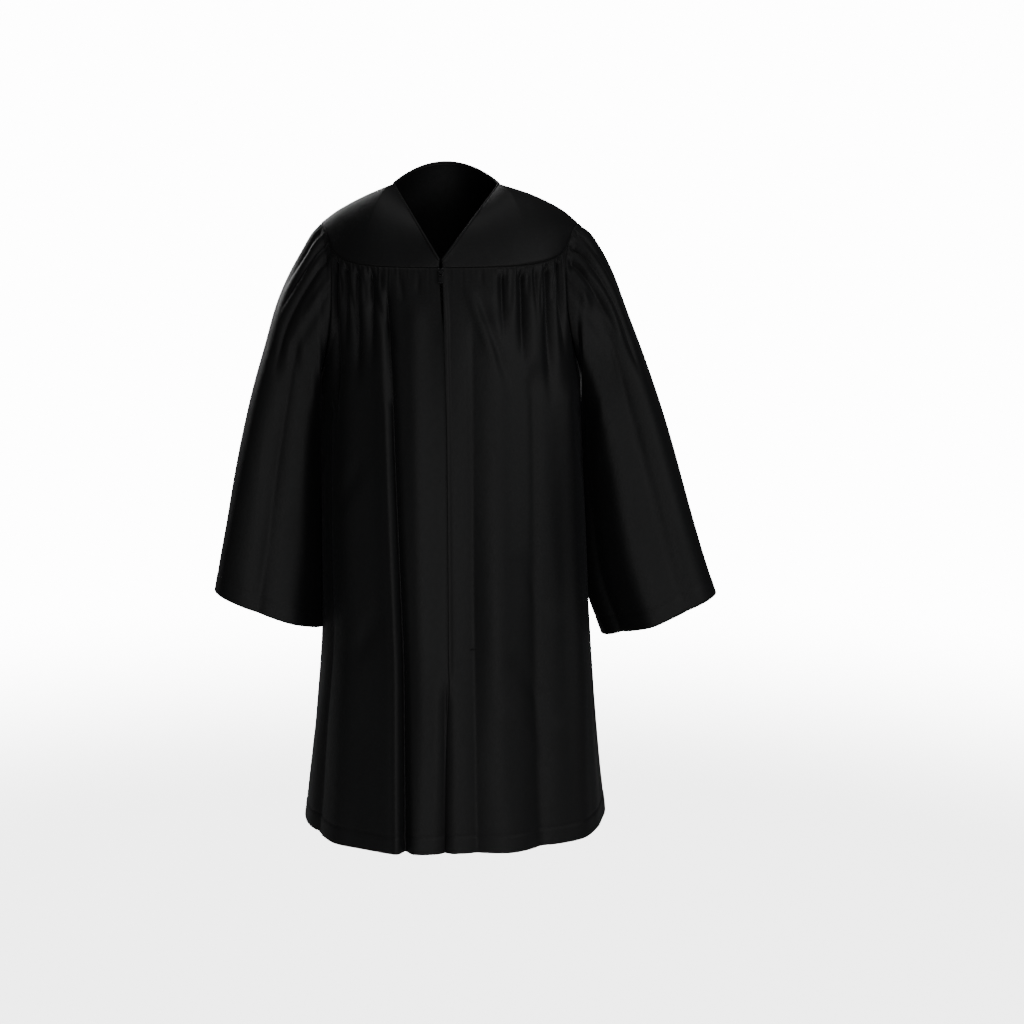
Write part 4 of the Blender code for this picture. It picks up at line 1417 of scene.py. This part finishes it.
class GOWN_OT_stitches(bpy.types.Operator):
    """Sew the hems, the cuffs and the fly"""

    bl_idname = "gown.stitches"
    bl_label = "Stitches"

    def execute(self, context):
        form = bmesh.new()
        for points in (front_panel(1), front_panel(-1), back_panel()):
            stitches_along(form, *row_above_hem(points, HEM_WIDTH))
        stitch_piece("gown_hem_stitches", form)
        form = bmesh.new()
        for side in (1, -1):
            stitches_along(form, *row_above_hem(sleeve_points(side), HEM_WIDTH))
        stitch_piece("gown_cuff_stitches", form)
        form = bmesh.new()
        path, away = fly_stitch_path()
        stitches_along(form, path, away)
        bar = np.argmin(np.abs(path[:, 2] - TACK_HEIGHT))
        for across in np.arange(-TACK_WIDTH / 2, TACK_WIDTH / 2, TACK_PITCH):
            place = path[bar] + np.array([across, 0.0, 0.0])
            stitch(form, place, (0.25, 0, 1), away[bar], TACK_LENGTH, TACK_THICKNESS)
        stitch_piece("gown_fly_stitches", form)
        return {"FINISHED"}


def aim(thing, place, target):
    """Put a light at a place and turn it to a target."""
    thing.location = place
    direction = Vector(target) - Vector(place)
    thing.rotation_euler = direction.to_track_quat("-Z", "Y").to_euler()


def soft_light(name, power, size, place, target):
    """A square area light."""
    lamp = bpy.data.lights.new(name, "AREA")
    lamp.energy = power
    lamp.size = size
    thing = bpy.data.objects.new(name, lamp)
    bpy.context.scene.collection.objects.link(thing)
    aim(thing, place, target)


def pale_floor(height, corners):
    """A round pale floor that fades out at its edge."""
    form = bmesh.new()
    bmesh.ops.create_circle(form, cap_ends=True, segments=corners, radius=3.2)
    bmesh.ops.translate(form, verts=form.verts, vec=(0, 0, height))
    mesh = bpy.data.meshes.new("floor")
    form.to_mesh(mesh)
    form.free()
    floor = bpy.data.objects.new("floor", mesh)
    bpy.context.scene.collection.objects.link(floor)
    material, shader = shader_of("pale_floor")
    shader.inputs["Base Color"].default_value = (0.86, 0.86, 0.86, 1)
    shader.inputs["Roughness"].default_value = 0.9
    ball = node_of(material, "ShaderNodeTexGradient", gradient_type="SPHERICAL")
    join(material, mapped(material, "Object", (0.33, 0.33, 0.0)), ball.inputs["Vector"])
    fade = node_of(material, "ShaderNodeMapRange", interpolation_type="SMOOTHSTEP")
    fade.inputs["From Max"].default_value = 0.6
    fade.inputs["To Max"].default_value = 0.7
    join(material, ball.outputs["Fac"], fade.inputs["Value"])
    join(material, fade.outputs["Result"], shader.inputs["Alpha"])
    mesh.materials.append(material)


def studio_world():
    """White surroundings, whose light on the cloth is soft and weak."""
    world = bpy.data.worlds.new("studio")
    bpy.context.scene.world = world
    world.use_nodes = True
    nodes, links = world.node_tree.nodes, world.node_tree.links
    nodes.clear()
    seen = nodes.new("ShaderNodeBackground")
    seen.inputs["Strength"].default_value = 14.0
    lit = nodes.new("ShaderNodeBackground")
    lit.inputs["Strength"].default_value = 0.035
    for background in (seen, lit):
        background.inputs["Color"].default_value = (1, 1, 1, 1)
    rays = nodes.new("ShaderNodeLightPath")
    mix = nodes.new("ShaderNodeMixShader")
    end = nodes.new("ShaderNodeOutputWorld")
    links.new(rays.outputs["Is Camera Ray"], mix.inputs[0])
    links.new(lit.outputs[0], mix.inputs[1])
    links.new(seen.outputs[0], mix.inputs[2])
    links.new(mix.outputs[0], end.inputs["Surface"])


class GOWN_OT_stage(bpy.types.Operator):
    """Set the floor, the light and the camera"""

    bl_idname = "gown.stage"
    bl_label = "Stage"

    def execute(self, context):
        stage = context.scene.gown_stage
        pale_floor(-stage.floor_drop, stage.samples_around)
        studio_world()
        for light in LIGHTS:
            power = light.power * stage.key_power
            soft_light(light.name, power, light.size, light.place, light.target)
        lens = bpy.data.cameras.new("camera")
        lens.lens = stage.lens
        lens.sensor_width = 36.0
        camera = bpy.data.objects.new("camera", lens)
        context.scene.collection.objects.link(camera)
        camera.location = (0, -stage.camera_away, 0.010)
        camera.rotation_euler = (math.pi / 2 - stage.pitch, 0, -stage.yaw)
        context.scene.camera = camera
        return {"FINISHED"}


class GOWN_PT_panel(bpy.types.Panel):
    """The gown's pieces in the order in which they are made"""

    bl_idname = "GOWN_PT_panel"
    bl_label = "Graduation gown"
    bl_space_type = "VIEW_3D"
    bl_region_type = "UI"
    bl_category = "Gown"

    def draw(self, context):
        layout = self.layout
        for group in ("gown_cloth", "gown_zip", "gown_stage"):
            settings = getattr(context.scene, group)
            for name in settings.bl_rna.properties.keys():
                if name not in ("rna_type", "name"):
                    layout.prop(settings, name)
        for step in STEPS:
            layout.operator(step.bl_idname)


STEPS = (
    GOWN_OT_fronts,
    GOWN_OT_back,
    GOWN_OT_yokes,
    GOWN_OT_sleeves,
    GOWN_OT_neck_edge,
    GOWN_OT_zip,
    GOWN_OT_slider,
    GOWN_OT_stitches,
    GOWN_OT_stage,
)
SETTINGS = {
    "gown_cloth": GownClothSettings,
    "gown_zip": GownZipSettings,
    "gown_stage": GownStageSettings,
}
CLASSES = (*SETTINGS.values(), *STEPS, GOWN_PT_panel)


def register():
    for item in CLASSES:
        bpy.utils.register_class(item)
    for name, group in SETTINGS.items():
        setattr(bpy.types.Scene, name, PointerProperty(type=group))


def unregister():
    for name in SETTINGS:
        delattr(bpy.types.Scene, name)
    for item in reversed(CLASSES):
        bpy.utils.unregister_class(item)


def main():
    """Make the gown and its stage."""
    register()
    for step in STEPS:
        group, name = step.bl_idname.split(".")
        getattr(getattr(bpy.ops, group), name)()


if __name__ == "__main__":
    main()
